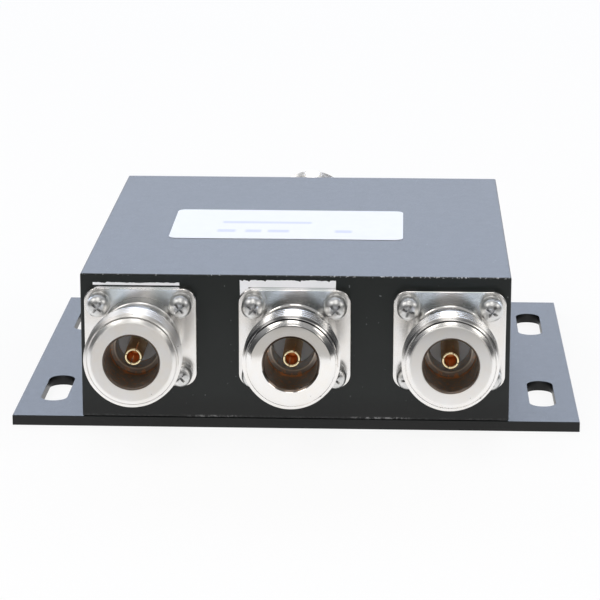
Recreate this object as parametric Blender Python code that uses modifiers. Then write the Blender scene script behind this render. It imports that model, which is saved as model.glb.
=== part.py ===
"""Coaxial RF power splitter: one input jack, three output jacks and a machined, screwed-shut box.

Lengths are in metres. The origin is the centre of the base plate's underside, +Z is up, the three
output jacks face -Y and the input jack faces +Y.
"""

import math

import bmesh
import bpy
from mathutils import Matrix, Vector

MM = 0.001

# Clearances between pieces that touch on the real splitter
SEAT_GAP = 0.3 * MM
EDGE_BREAK = 0.25 * MM

# Jack body, turned and milled in one piece
THREAD_RADIUS = 7.94 * MM
LEAD_IN_DROP = 0.94 * MM
FACE_DROP = 0.5 * MM
FACE_CHAMFER_DEPTH = 0.5 * MM
THREAD_START = 1.3 * MM
THREAD_LENGTH = 4.4 * MM
THREAD_RUNOUT = 0.2 * MM
NECK_DROP = 1.24 * MM
BOSS_STEP = 0.2 * MM
BOSS_LENGTH = 3.2 * MM
BARREL_LENGTH = 15.5 * MM
FLANGE_THICKNESS = 1.5 * MM
FLANGE_CORNER_RADIUS = 2.3 * MM
BOLT_ANGLE = math.radians(40.7)
BOLT_CLEARANCE = 0.2 * MM
BOLT_TO_SIDE_EDGE = 2.5 * MM
BOLT_TO_TOP_EDGE = 2.5 * MM
SPIGOT_RADIUS = 5.0 * MM
SPIGOT_LENGTH = 1.2 * MM
MOUTH_CHAMFER = 0.4 * MM
BORE_RADIUS = 4.35 * MM
BORE_DEPTH = 9.1 * MM
INNER_BORE_RADIUS = 3.5 * MM

# Insulator bead, seated in front of the wall
BEAD_SEAT = 0.5 * MM
BEAD_LENGTH = 2.8 * MM
STUB_RADIUS = 2.3 * MM

# Centre contact
CONTACT_RADIUS = 1.5 * MM
SOCKET_RADIUS = 1.0 * MM
SOCKET_DEPTH = 5.5 * MM
CONTACT_SETBACK = 3.4 * MM
CONTACT_SLOT_WIDTH = 0.2 * MM
CONTACT_SLOT_LENGTH = 4.2 * MM
CONTACT_SLOT_TURN = math.radians(20)
CONTACT_TIP_CHAMFER = 0.15 * MM
WAIST_RADIUS = 0.9 * MM
TAIL_RADIUS = 0.635 * MM
TAIL_REACH = 4.0 * MM

# Flange screws, each with its captive spring washer
FLANGE_SCREW_RADIUS = 1.0 * MM
FLANGE_SCREW_BITE = 3.2 * MM
FLANGE_HEAD_RADIUS = 1.9 * MM
FLANGE_HEAD_HEIGHT = 2.3 * MM
FLANGE_HEAD_ROUND = 0.7 * MM
WASHER_RADIUS = 1.95 * MM
WASHER_THICKNESS = 1.1 * MM
RECESS_SPAN = 2.2 * MM
RECESS_WIDTH = 0.5 * MM
RECESS_DEPTH = 0.6 * MM

# Box and base plate
JACK_PITCH = 25.8 * MM
JACK_SIDE_MARGIN = 0.85 * MM
JACK_TOP_MARGIN = 2.05 * MM
JACK_ABOVE_PLATE = 14.45 * MM
INPUT_JACK_RISE = 0.5 * MM
INPUT_JACK_SHIFT = -0.5 * MM
BOX_DEPTH = 80.0 * MM
ROOF = 2.5 * MM
PLATE_THICKNESS = 1.75 * MM
EAR_WIDTH = 12.0 * MM
SLOT_WIDTH = 4.5 * MM
SLOT_LENGTH = 15.4 * MM
SLOT_SETBACK = 9.0 * MM
SLOT_SHIFT = 0.3 * MM

# Cover screws, countersunk into the base plate from below
COVER_SCREW_RADIUS = 1.0 * MM
COVER_HEAD_RADIUS = 1.9 * MM
COVER_HEAD_SINK = 0.1 * MM
COVER_SCREW_LENGTH = 6.0 * MM
COUNTERSINK_LAND = 0.6 * MM
WALL_WEB = 1.7 * MM

# Circuit board, hung from four bosses under the roof
BOARD_THICKNESS = 1.6 * MM
BOARD_SIDE_GAP = 0.6 * MM
BOARD_EDGE_TO_SCREW = 5.0 * MM
BOSS_RADIUS = 3.0 * MM
BOARD_SCREW_RADIUS = 1.0 * MM
BOARD_SCREW_BITE = 3.0 * MM
BOARD_HEAD_RADIUS = 1.9 * MM
BOARD_HEAD_HEIGHT = 1.3 * MM

# Copper track: an input line, two quarter-wave sections of three arms, and three output lines
TRACK_THICKNESS = 0.3 * MM
TRACK_ROOT = 0.2 * MM
TRACK_EDGE_MARGIN = 0.5 * MM
TRACK_OVERLAP = 0.4 * MM
LINE_WIDTH = 3.0 * MM
INPUT_LINE_LENGTH = 8.0 * MM
ARM_PITCH = 5.5 * MM
ARM_SECTION_LENGTH = 20.0 * MM
ARM_WIDTHS = (1.4 * MM, 2.0 * MM)
RESISTOR_LENGTH = 5.0 * MM
RESISTOR_WIDTH = 2.5 * MM
RESISTOR_THICKNESS = 0.7 * MM

# Paper labels
LABEL_THICKNESS = 0.2 * MM
TOP_LABEL_WIDTH = 41.5 * MM
TOP_LABEL_DEPTH = 23.0 * MM
TOP_LABEL_CORNER = 1.5 * MM
TOP_LABEL_X = -2.8 * MM
TOP_LABEL_Y = -2.0 * MM
CENTRE_LABEL_WIDTH = 16.0 * MM
CENTRE_LABEL_SHIFT = -1.2 * MM
CENTRE_LABEL_HEIGHT = 1.05 * MM
LEFT_LABEL_WIDTH = 14.5 * MM
LEFT_LABEL_SHIFT = -0.8 * MM
LEFT_LABEL_HEIGHT = 0.4 * MM

# Facets around a full turn
BODY_FACETS = 24
BEAD_FACETS = 16
PIN_FACETS = 14
SCREW_FACETS = 12
CORNER_STEPS = 4
CUT_OVERSHOOT = 1.0 * MM
WELD_DISTANCE = 0.00001
SHARP_ANGLE = math.radians(35)

# Sizes that follow from the ones above
LIP_Z = FLANGE_THICKNESS + BARREL_LENGTH
RELIEF_RADIUS = THREAD_RADIUS - LEAD_IN_DROP
FACE_RADIUS = RELIEF_RADIUS - FACE_DROP
NECK_RADIUS = THREAD_RADIUS - NECK_DROP
JACK_BOSS_RADIUS = NECK_RADIUS + BOSS_STEP
BOLT_CIRCLE = JACK_BOSS_RADIUS + WASHER_RADIUS + BOLT_CLEARANCE
BOLT_X = BOLT_CIRCLE * math.cos(BOLT_ANGLE)
BOLT_Y = BOLT_CIRCLE * math.sin(BOLT_ANGLE)
FLANGE_WIDTH = 2 * (BOLT_X + BOLT_TO_SIDE_EDGE)
FLANGE_HEIGHT = 2 * (BOLT_Y + BOLT_TO_TOP_EDGE)
FLANGE_HOLE_RADIUS = FLANGE_SCREW_RADIUS + SEAT_GAP
BEAD_RADIUS = INNER_BORE_RADIUS - SEAT_GAP
BEAD_BACK_Z = BEAD_SEAT + SEAT_GAP
INSULATOR_FACE_Z = BEAD_BACK_Z + BEAD_LENGTH
CONTACT_TIP_Z = LIP_Z - CONTACT_SETBACK

# The countersink stands off the screw's cone by the seat gap, measured square to the cone.
COUNTERSINK_RADIUS = COVER_HEAD_RADIUS + COVER_HEAD_SINK + SEAT_GAP * math.sqrt(2)
COVER_TAP_RADIUS = COVER_SCREW_RADIUS + SEAT_GAP
COVER_SCREW_EDGE = COUNTERSINK_RADIUS + COUNTERSINK_LAND
WALL = COVER_SCREW_EDGE + COVER_TAP_RADIUS + WALL_WEB
BOX_WIDTH = 2 * (JACK_PITCH + JACK_SIDE_MARGIN) + FLANGE_WIDTH
BOX_BOTTOM = PLATE_THICKNESS + SEAT_GAP
JACK_AXIS_Z = PLATE_THICKNESS + JACK_ABOVE_PLATE
FLANGE_TOP = JACK_AXIS_Z + FLANGE_HEIGHT / 2
BOX_TOP = FLANGE_TOP + JACK_TOP_MARGIN
PLATE_WIDTH = BOX_WIDTH + 2 * EAR_WIDTH
CAVITY_WIDTH = BOX_WIDTH - 2 * WALL
CAVITY_DEPTH = BOX_DEPTH - 2 * WALL
CAVITY_TOP = BOX_TOP - ROOF
WALL_FACE_Z = -SEAT_GAP
WALL_INSIDE_Z = WALL_FACE_Z - WALL

INPUT_AXIS_Z = JACK_AXIS_Z + INPUT_JACK_RISE
TRACK_FACE_Z = INPUT_AXIS_Z + TAIL_RADIUS + SEAT_GAP
BOARD_BOTTOM = TRACK_FACE_Z + TRACK_THICKNESS
BOARD_TOP = BOARD_BOTTOM + BOARD_THICKNESS
BOARD_WIDTH = CAVITY_WIDTH - 2 * BOARD_SIDE_GAP
BOARD_DEPTH = CAVITY_DEPTH - 2 * BOARD_SIDE_GAP
BOSS_FACE = BOARD_TOP + SEAT_GAP
FORK_Y = BOARD_DEPTH / 2 - INPUT_LINE_LENGTH


def make_collection(name):
    collection = bpy.data.collections.new(name)
    bpy.context.scene.collection.children.link(collection)
    return collection


def make_material(name, colour, metallic, roughness):
    material = bpy.data.materials.new(name)
    material.use_nodes = True
    shader = material.node_tree.nodes["Principled BSDF"]
    shader.inputs["Base Color"].default_value = (*colour, 1)
    shader.inputs["Metallic"].default_value = metallic
    shader.inputs["Roughness"].default_value = roughness
    return material


def place(name, mesh, matrix, collection):
    """Add an object that shows the mesh at the given place."""
    obj = bpy.data.objects.new(name, mesh)
    obj.matrix_world = matrix
    collection.objects.link(obj)
    return obj


def at(x, y, z):
    return Matrix.Translation((x, y, z))


def box_mesh(name, size_x, size_y, size_z):
    """A box centred on X and Y that stands on Z = 0."""
    mesh = bpy.data.meshes.new(name)
    shape = bmesh.new()
    lift = Matrix.Translation((0, 0, size_z / 2))
    bmesh.ops.create_cube(shape, size=1, matrix=lift @ Matrix.Diagonal((size_x, size_y, size_z, 1)))
    shape.to_mesh(mesh)
    shape.free()
    return mesh


def rod_mesh(name, radius, length, facets):
    """A cylinder on the Z axis that stands on Z = 0."""
    mesh = bpy.data.meshes.new(name)
    shape = bmesh.new()
    bmesh.ops.create_cone(
        shape,
        cap_ends=True,
        segments=facets,
        radius1=radius,
        radius2=radius,
        depth=length,
        matrix=Matrix.Translation((0, 0, length / 2)),
    )
    shape.to_mesh(mesh)
    shape.free()
    return mesh


def evaluated_mesh(obj):
    """The object's mesh with its modifiers applied. The object itself is removed."""
    bpy.context.view_layer.update()
    graph = bpy.context.evaluated_depsgraph_get()
    mesh = bpy.data.meshes.new_from_object(obj.evaluated_get(graph))
    mesh.name = obj.name
    bpy.data.objects.remove(obj)
    shape = bmesh.new()
    shape.from_mesh(mesh)
    bmesh.ops.remove_doubles(shape, verts=shape.verts, dist=WELD_DISTANCE)
    shape.to_mesh(mesh)
    shape.free()
    return mesh


def turned_mesh(name, profile, facets, closed=False):
    """Turn a profile of (radius, z) points about the Z axis. Its outer side runs downwards."""
    mesh = bpy.data.meshes.new(name)
    edges = [(step, step + 1) for step in range(len(profile) - 1)]
    if closed:
        edges.append((len(profile) - 1, 0))
    mesh.from_pydata([(radius, 0, z) for radius, z in profile], edges, [])
    obj = place(name, mesh, Matrix.Identity(4), bpy.context.scene.collection)
    screw = obj.modifiers.new("turn", "SCREW")
    screw.steps = facets
    screw.render_steps = facets
    screw.use_merge_vertices = True
    screw.merge_threshold = WELD_DISTANCE
    return evaluated_mesh(obj)


def outline_mesh(name, points, thickness):
    """Extrude a flat outline from Z = 0 to the given thickness."""
    curve = bpy.data.curves.new(name, "CURVE")
    curve.dimensions = "2D"
    curve.fill_mode = "BOTH"
    curve.extrude = thickness / 2
    spline = curve.splines.new("POLY")
    spline.points.add(len(points) - 1)
    for spot, (x, y) in zip(spline.points, points):
        spot.co = (x, y, 0, 1)
    spline.use_cyclic_u = True
    obj = bpy.data.objects.new(name, curve)
    bpy.context.scene.collection.objects.link(obj)
    mesh = evaluated_mesh(obj)
    mesh.transform(Matrix.Translation((0, 0, thickness / 2)))
    return mesh


def rounded_rectangle(width, depth, radius):
    """Corner arcs of a rounded rectangle, anticlockwise from its right side."""
    points = []
    for quarter in range(4):
        turn = quarter * math.pi / 2
        side_x = math.copysign(width / 2 - radius, math.cos(turn + math.pi / 4))
        side_y = math.copysign(depth / 2 - radius, math.sin(turn + math.pi / 4))
        for step in range(CORNER_STEPS + 1):
            angle = turn + step * math.pi / 2 / CORNER_STEPS
            points.append((side_x + radius * math.cos(angle), side_y + radius * math.sin(angle)))
    return points


def slot_outline(width, length):
    """A slot with round ends, long along Y."""
    points = []
    for end, first in ((1, 0), (-1, math.pi)):
        for step in range(2 * CORNER_STEPS + 1):
            angle = first + step * math.pi / (2 * CORNER_STEPS)
            centre_y = end * (length - width) / 2
            points.append((width / 2 * math.cos(angle), centre_y + width / 2 * math.sin(angle)))
    return points


def cross_outline(span, width):
    """The twelve corners of a cross recess."""
    tip = span / 2
    root = width / 2
    arm = [Vector((root, root)), Vector((root, tip)), Vector((-root, tip))]
    points = []
    for quarter in range(4):
        turn = Matrix.Rotation(quarter * math.pi / 2, 2)
        points.extend(tuple(turn @ corner) for corner in arm)
    return points


def combine(obj, operation, others):
    """Cut the object with others, or join them to it. The others are helpers, never parts."""
    helpers = bpy.data.collections.new(f"{obj.name} {operation.lower()}")
    CUTTERS.children.link(helpers)
    for other in others:
        CUTTERS.objects.unlink(other)
        helpers.objects.link(other)
    boolean = obj.modifiers.new(operation.lower(), "BOOLEAN")
    boolean.operation = operation
    boolean.solver = "EXACT"
    boolean.operand_type = "COLLECTION"
    boolean.collection = helpers


def helper(name, mesh, matrix):
    obj = place(name, mesh, matrix, CUTTERS)
    obj.hide_render = True
    obj.display_type = "WIRE"
    return obj


def break_edges(obj):
    bevel = obj.modifiers.new("edge break", "BEVEL")
    bevel.width = EDGE_BREAK
    bevel.segments = 1


def finish_mesh(obj, material):
    """Apply the object's modifiers, drop its helpers and give it smooth round faces."""
    used = {modifier.collection for modifier in obj.modifiers if modifier.type == "BOOLEAN"}
    mesh = evaluated_mesh(obj)
    for helpers in used:
        for other in list(helpers.objects):
            bpy.data.objects.remove(other)
        bpy.data.collections.remove(helpers)
    mesh.materials.clear()
    mesh.materials.append(material)
    mesh.shade_smooth()
    mesh.set_sharp_from_angle(angle=SHARP_ANGLE)
    return mesh


def plain_mesh(mesh, material):
    """Finish a mesh that needs no cuts."""
    return finish_mesh(place(mesh.name, mesh, Matrix.Identity(4), CUTTERS), material)


def jack_places():
    """Name and matrix of each jack. Local +Z points out of the box and local +Y points up."""
    outwards = Matrix.Rotation(math.pi / 2, 4, "X")
    about = Matrix.Rotation(math.pi, 4, "Z")
    face_y = BOX_DEPTH / 2 + SEAT_GAP
    return {
        "left_jack": at(-JACK_PITCH, -face_y, JACK_AXIS_Z) @ outwards,
        "centre_jack": at(0, -face_y, JACK_AXIS_Z) @ outwards,
        "right_jack": at(JACK_PITCH, -face_y, JACK_AXIS_Z) @ outwards,
        "input_jack": at(INPUT_JACK_SHIFT, face_y, INPUT_AXIS_Z) @ about @ outwards,
    }


def bolt_spots():
    """The four screw positions of a flange, anticlockwise from the upper right."""
    return [(BOLT_X, BOLT_Y), (-BOLT_X, BOLT_Y), (-BOLT_X, -BOLT_Y), (BOLT_X, -BOLT_Y)]


def cover_screw_spots():
    """Screws up into the walls: at each corner and halfway along each side."""
    side = BOX_WIDTH / 2 - COVER_SCREW_EDGE
    end = BOX_DEPTH / 2 - COVER_SCREW_EDGE
    return [(-side, -end), (side, -end), (-side, 0), (side, 0), (-side, end), (side, end)]


def board_screw_spots():
    """Front screws stand between the output lines, rear ones behind the outer jacks."""
    y = BOARD_DEPTH / 2 - BOARD_EDGE_TO_SCREW
    rear_x = BOARD_WIDTH / 2 - BOARD_EDGE_TO_SCREW
    front_x = JACK_PITCH / 2
    return [(-front_x, -y), (front_x, -y), (-rear_x, y), (rear_x, y)]


def jack_body_mesh(material):
    flange = place(
        "flange",
        outline_mesh(
            "flange",
            rounded_rectangle(FLANGE_WIDTH, FLANGE_HEIGHT, FLANGE_CORNER_RADIUS),
            FLANGE_THICKNESS,
        ),
        Matrix.Identity(4),
        CUTTERS,
    )
    through = FLANGE_THICKNESS + 2 * CUT_OVERSHOOT
    eye = rod_mesh("eye", (SPIGOT_RADIUS + INNER_BORE_RADIUS) / 2, through, BODY_FACETS)
    hole = rod_mesh("hole", FLANGE_HOLE_RADIUS, through, SCREW_FACETS)
    cuts = [helper("eye", eye, at(0, 0, -CUT_OVERSHOOT))]
    for x, y in bolt_spots():
        cuts.append(helper("hole", hole, at(x, y, -CUT_OVERSHOOT)))
    combine(flange, "DIFFERENCE", cuts)
    stub_hole = STUB_RADIUS + SEAT_GAP
    boss_end = FLANGE_THICKNESS + BOSS_LENGTH
    thread_end = LIP_Z - THREAD_START - THREAD_LENGTH
    barrel = [
        (BORE_RADIUS + MOUTH_CHAMFER, LIP_Z),
        (FACE_RADIUS, LIP_Z),
        (RELIEF_RADIUS, LIP_Z - FACE_CHAMFER_DEPTH),
        (THREAD_RADIUS, LIP_Z - THREAD_START),
        (THREAD_RADIUS, thread_end),
        (NECK_RADIUS, thread_end - THREAD_RUNOUT),
        (NECK_RADIUS, boss_end + BOSS_STEP),
        (JACK_BOSS_RADIUS, boss_end),
        (JACK_BOSS_RADIUS, FLANGE_THICKNESS / 2),
        (SPIGOT_RADIUS, FLANGE_THICKNESS / 2),
        (SPIGOT_RADIUS, -SPIGOT_LENGTH),
        (stub_hole, -SPIGOT_LENGTH),
        (stub_hole, BEAD_SEAT),
        (INNER_BORE_RADIUS, BEAD_SEAT),
        (INNER_BORE_RADIUS, LIP_Z - BORE_DEPTH),
        (BORE_RADIUS, LIP_Z - BORE_DEPTH),
        (BORE_RADIUS, LIP_Z - MOUTH_CHAMFER),
    ]
    barrel_mesh = turned_mesh("barrel", barrel, BODY_FACETS, closed=True)
    combine(flange, "UNION", [helper("barrel", barrel_mesh, Matrix.Identity(4))])
    return finish_mesh(flange, material)


def insulator_mesh(material):
    pin_hole = WAIST_RADIUS + SEAT_GAP
    bead = [
        (pin_hole, INSULATOR_FACE_Z),
        (BEAD_RADIUS, INSULATOR_FACE_Z),
        (BEAD_RADIUS, BEAD_BACK_Z),
        (STUB_RADIUS, BEAD_BACK_Z),
        (STUB_RADIUS, WALL_INSIDE_Z),
        (pin_hole, WALL_INSIDE_Z),
    ]
    return plain_mesh(turned_mesh("insulator", bead, BEAD_FACETS, closed=True), material)


def contact_mesh(material):
    shoulder = INSULATOR_FACE_Z + SEAT_GAP
    tail_end = WALL_INSIDE_Z - TAIL_REACH
    pin = [
        (0, CONTACT_TIP_Z - SOCKET_DEPTH),
        (SOCKET_RADIUS, CONTACT_TIP_Z - SOCKET_DEPTH),
        (SOCKET_RADIUS, CONTACT_TIP_Z),
        (CONTACT_RADIUS - CONTACT_TIP_CHAMFER, CONTACT_TIP_Z),
        (CONTACT_RADIUS, CONTACT_TIP_Z - CONTACT_TIP_CHAMFER),
        (CONTACT_RADIUS, shoulder),
        (WAIST_RADIUS, shoulder),
        (WAIST_RADIUS, WALL_INSIDE_Z),
        (TAIL_RADIUS, WALL_INSIDE_Z),
        (TAIL_RADIUS, tail_end),
        (0, tail_end),
    ]
    contact = place("contact", turned_mesh("contact", pin, PIN_FACETS), Matrix.Identity(4), CUTTERS)
    slots = outline_mesh(
        "contact slots",
        cross_outline(2 * (CONTACT_RADIUS + CUT_OVERSHOOT), CONTACT_SLOT_WIDTH),
        CONTACT_SLOT_LENGTH + CUT_OVERSHOOT,
    )
    turn = Matrix.Rotation(-CONTACT_SLOT_TURN, 4, "Z")
    slots_at = at(0, 0, CONTACT_TIP_Z - CONTACT_SLOT_LENGTH) @ turn
    combine(contact, "DIFFERENCE", [helper("contact slots", slots, slots_at)])
    return finish_mesh(contact, material)


def recessed_screw_mesh(name, profile, head_top, material):
    """A turned screw with a cross recess in the top of its head."""
    screw = place(name, turned_mesh(name, profile, SCREW_FACETS), Matrix.Identity(4), CUTTERS)
    cross = outline_mesh(
        "recess", cross_outline(RECESS_SPAN, RECESS_WIDTH), RECESS_DEPTH + CUT_OVERSHOOT
    )
    combine(screw, "DIFFERENCE", [helper("recess", cross, at(0, 0, head_top - RECESS_DEPTH))])
    return finish_mesh(screw, material)


def pan_head(radius, seat, height, rounding):
    """The outer side of a pan head that stands on the given seat, from its axis down."""
    top = seat + height
    points = [(0, top)]
    for step in range(3):
        angle = step * math.pi / 4
        side = radius - rounding + rounding * math.sin(angle)
        points.append((side, top - rounding + rounding * math.cos(angle)))
    points.append((radius, seat))
    return points


def flange_screw_mesh(material):
    length = FLANGE_THICKNESS + 2 * SEAT_GAP + FLANGE_SCREW_BITE
    head = pan_head(FLANGE_HEAD_RADIUS, WASHER_THICKNESS, FLANGE_HEAD_HEIGHT, FLANGE_HEAD_ROUND)
    shank = [
        (WASHER_RADIUS, WASHER_THICKNESS),
        (WASHER_RADIUS, 0),
        (FLANGE_SCREW_RADIUS, 0),
        (FLANGE_SCREW_RADIUS, -length),
        (0, -length),
    ]
    head_top = WASHER_THICKNESS + FLANGE_HEAD_HEIGHT
    return recessed_screw_mesh("flange screw", head + shank, head_top, material)


def cover_screw_mesh(material):
    profile = [
        (0, 0),
        (COVER_HEAD_RADIUS, 0),
        (COVER_SCREW_RADIUS, COVER_SCREW_RADIUS - COVER_HEAD_RADIUS),
        (COVER_SCREW_RADIUS, -COVER_SCREW_LENGTH),
        (0, -COVER_SCREW_LENGTH),
    ]
    return recessed_screw_mesh("cover screw", profile, 0, material)


def board_screw_mesh(material):
    length = BOARD_THICKNESS + 2 * SEAT_GAP + BOARD_SCREW_BITE
    profile = [
        (0, BOARD_HEAD_HEIGHT),
        (BOARD_HEAD_RADIUS, BOARD_HEAD_HEIGHT),
        (BOARD_HEAD_RADIUS, 0),
        (BOARD_SCREW_RADIUS, 0),
        (BOARD_SCREW_RADIUS, -length),
        (0, -length),
    ]
    return recessed_screw_mesh("board screw", profile, BOARD_HEAD_HEIGHT, material)


def wall_port_mesh():
    """What a jack takes out of the wall: a counterbore for its spigot and a hole for its stub."""
    counterbore = SPIGOT_RADIUS + SEAT_GAP
    floor = -SPIGOT_LENGTH - SEAT_GAP
    hole = STUB_RADIUS + SEAT_GAP
    profile = [
        (0, CUT_OVERSHOOT),
        (counterbore, CUT_OVERSHOOT),
        (counterbore, floor),
        (hole, floor),
        (hole, WALL_INSIDE_Z - CUT_OVERSHOOT),
        (0, WALL_INSIDE_Z - CUT_OVERSHOOT),
    ]
    return turned_mesh("wall port", profile, BEAD_FACETS)


def build_housing(material):
    height = BOX_TOP - BOX_BOTTOM
    shell = box_mesh("housing", BOX_WIDTH, BOX_DEPTH, height)
    housing = place("housing", shell, at(0, 0, BOX_BOTTOM), CUTTERS)
    break_edges(housing)
    cavity = box_mesh(
        "cavity", CAVITY_WIDTH, CAVITY_DEPTH, CAVITY_TOP - BOX_BOTTOM + CUT_OVERSHOOT
    )
    combine(housing, "DIFFERENCE", [helper("cavity", cavity, at(0, 0, BOX_BOTTOM - CUT_OVERSHOOT))])
    boss = rod_mesh("boss", BOSS_RADIUS, CAVITY_TOP + ROOF / 2 - BOSS_FACE, BEAD_FACETS)
    bosses = [helper("boss", boss, at(x, y, BOSS_FACE)) for x, y in board_screw_spots()]
    combine(housing, "UNION", bosses)

    port = wall_port_mesh()
    flange_tap_depth = FLANGE_SCREW_BITE + SEAT_GAP
    flange_tap = rod_mesh(
        "flange tap", FLANGE_HOLE_RADIUS, flange_tap_depth + CUT_OVERSHOOT, SCREW_FACETS
    )
    cuts = []
    for matrix in jack_places().values():
        cuts.append(helper("wall port", port, matrix))
        for x, y in bolt_spots():
            tap_at = matrix @ at(x, y, WALL_FACE_Z - flange_tap_depth)
            cuts.append(helper("flange tap", flange_tap, tap_at))
    cover_tap_top = COVER_HEAD_SINK + COVER_SCREW_LENGTH + SEAT_GAP
    cover_tap = rod_mesh("cover tap", COVER_TAP_RADIUS, cover_tap_top, SCREW_FACETS)
    for x, y in cover_screw_spots():
        cuts.append(helper("cover tap", cover_tap, at(x, y, 0)))
    board_tap_depth = BOARD_SCREW_BITE + SEAT_GAP
    board_tap = rod_mesh(
        "board tap", BOARD_SCREW_RADIUS + SEAT_GAP, board_tap_depth + CUT_OVERSHOOT, SCREW_FACETS
    )
    for x, y in board_screw_spots():
        cuts.append(helper("board tap", board_tap, at(x, y, BOSS_FACE - CUT_OVERSHOOT)))
    combine(housing, "DIFFERENCE", cuts)
    place("housing", finish_mesh(housing, material), at(0, 0, BOX_BOTTOM), PARTS)


def build_base_plate(material):
    sheet = box_mesh("base plate", PLATE_WIDTH, BOX_DEPTH, PLATE_THICKNESS)
    plate = place("base plate", sheet, Matrix.Identity(4), CUTTERS)
    break_edges(plate)
    through = PLATE_THICKNESS + 2 * CUT_OVERSHOOT
    slot = outline_mesh("slot", slot_outline(SLOT_WIDTH, SLOT_LENGTH), through)
    slot_x = BOX_WIDTH / 2 + EAR_WIDTH / 2 + SLOT_SHIFT
    slot_y = BOX_DEPTH / 2 - SLOT_SETBACK - SLOT_LENGTH / 2
    cuts = []
    for x in (-slot_x, slot_x):
        for y in (-slot_y, slot_y):
            cuts.append(helper("slot", slot, at(x, y, -CUT_OVERSHOOT)))
    countersink = turned_mesh(
        "countersink",
        [
            (0, through),
            (COVER_TAP_RADIUS, through),
            (COVER_TAP_RADIUS, COUNTERSINK_RADIUS - COVER_TAP_RADIUS),
            (COUNTERSINK_RADIUS, 0),
            (COUNTERSINK_RADIUS, -CUT_OVERSHOOT),
            (0, -CUT_OVERSHOOT),
        ],
        SCREW_FACETS,
    )
    for x, y in cover_screw_spots():
        cuts.append(helper("countersink", countersink, at(x, y, 0)))
    combine(plate, "DIFFERENCE", cuts)
    place("base_plate", finish_mesh(plate, material), Matrix.Identity(4), PARTS)


def track_strips():
    """Each copper strip as (x, y) of two opposite corners."""
    edge = BOARD_DEPTH / 2 - TRACK_EDGE_MARGIN
    half_line = LINE_WIDTH / 2
    strips = [(INPUT_JACK_SHIFT - half_line, FORK_Y, INPUT_JACK_SHIFT + half_line, edge)]
    fork_half = ARM_PITCH + ARM_WIDTHS[0] / 2
    strips.append((-fork_half, FORK_Y - ARM_WIDTHS[0], fork_half, FORK_Y + ARM_WIDTHS[0]))
    start = FORK_Y
    for width in ARM_WIDTHS:
        for arm in (-1, 0, 1):
            x = arm * ARM_PITCH
            end = start - ARM_SECTION_LENGTH - TRACK_OVERLAP
            strips.append((x - width / 2, end, x + width / 2, start))
        start -= ARM_SECTION_LENGTH
    for side in (-1, 0, 1):
        x = side * JACK_PITCH
        strips.append((x - half_line, -edge, x + half_line, start))
        inner = side * (ARM_PITCH - ARM_WIDTHS[1] / 2)
        outer = side * (JACK_PITCH + half_line)
        if side:
            strips.append((min(inner, outer), start - half_line, max(inner, outer), start + half_line))
    return strips


def build_circuit_board(board_material):
    blank = box_mesh("circuit board", BOARD_WIDTH, BOARD_DEPTH, BOARD_THICKNESS)
    board = place("circuit board", blank, at(0, 0, BOARD_BOTTOM), CUTTERS)
    tracks = []
    for x0, y0, x1, y1 in track_strips():
        strip = box_mesh("track", x1 - x0, y1 - y0, TRACK_THICKNESS + TRACK_ROOT)
        tracks.append(helper("track", strip, at((x0 + x1) / 2, (y0 + y1) / 2, TRACK_FACE_Z)))
    combine(board, "UNION", tracks)
    hole = rod_mesh(
        "hole", BOARD_SCREW_RADIUS + SEAT_GAP, BOARD_THICKNESS + 2 * CUT_OVERSHOOT, SCREW_FACETS
    )
    holes = []
    for x, y in board_screw_spots():
        holes.append(helper("hole", hole, at(x, y, BOARD_BOTTOM - CUT_OVERSHOOT)))
    combine(board, "DIFFERENCE", holes)
    mesh = finish_mesh(board, board_material)
    place("circuit_board", mesh, at(0, 0, BOARD_BOTTOM), PARTS)


def build_resistors(material):
    """One isolation resistor across each gap between the arms, at the end of each section."""
    chip = box_mesh("resistor", RESISTOR_LENGTH, RESISTOR_WIDTH, RESISTOR_THICKNESS)
    mesh = plain_mesh(chip, material)
    z = TRACK_FACE_Z - SEAT_GAP - RESISTOR_THICKNESS
    number = 0
    for section in range(1, len(ARM_WIDTHS) + 1):
        y = FORK_Y - section * ARM_SECTION_LENGTH + RESISTOR_WIDTH / 2 + LINE_WIDTH / 2
        for side in (-1, 1):
            number += 1
            place(f"isolation_resistor_{number}", mesh, at(side * ARM_PITCH / 2, y, z), PARTS)


def build_jacks(body_material, insulator_material, contact_material, screw_material):
    body = jack_body_mesh(body_material)
    insulator = insulator_mesh(insulator_material)
    contact = contact_mesh(contact_material)
    screw = flange_screw_mesh(screw_material)
    for name, matrix in jack_places().items():
        place(f"{name}_body", body, matrix, PARTS)
        place(f"{name}_insulator", insulator, matrix, PARTS)
        place(f"{name}_contact", contact, matrix, PARTS)
        for number, (x, y) in enumerate(bolt_spots(), start=1):
            seat = matrix @ at(x, y, FLANGE_THICKNESS + SEAT_GAP)
            place(f"{name}_screw_{number}", screw, seat, PARTS)


def build_inner_screws(material):
    """Cover screws and board screws, all driven upwards from below."""
    upside_down = Matrix.Rotation(math.pi, 4, "X")
    cover_screw = cover_screw_mesh(material)
    for number, (x, y) in enumerate(cover_screw_spots(), start=1):
        place(f"cover_screw_{number}", cover_screw, at(x, y, COVER_HEAD_SINK) @ upside_down, PARTS)
    board_screw = board_screw_mesh(material)
    for number, (x, y) in enumerate(board_screw_spots(), start=1):
        seat = at(x, y, BOARD_BOTTOM - SEAT_GAP) @ upside_down
        place(f"board_screw_{number}", board_screw, seat, PARTS)


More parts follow.
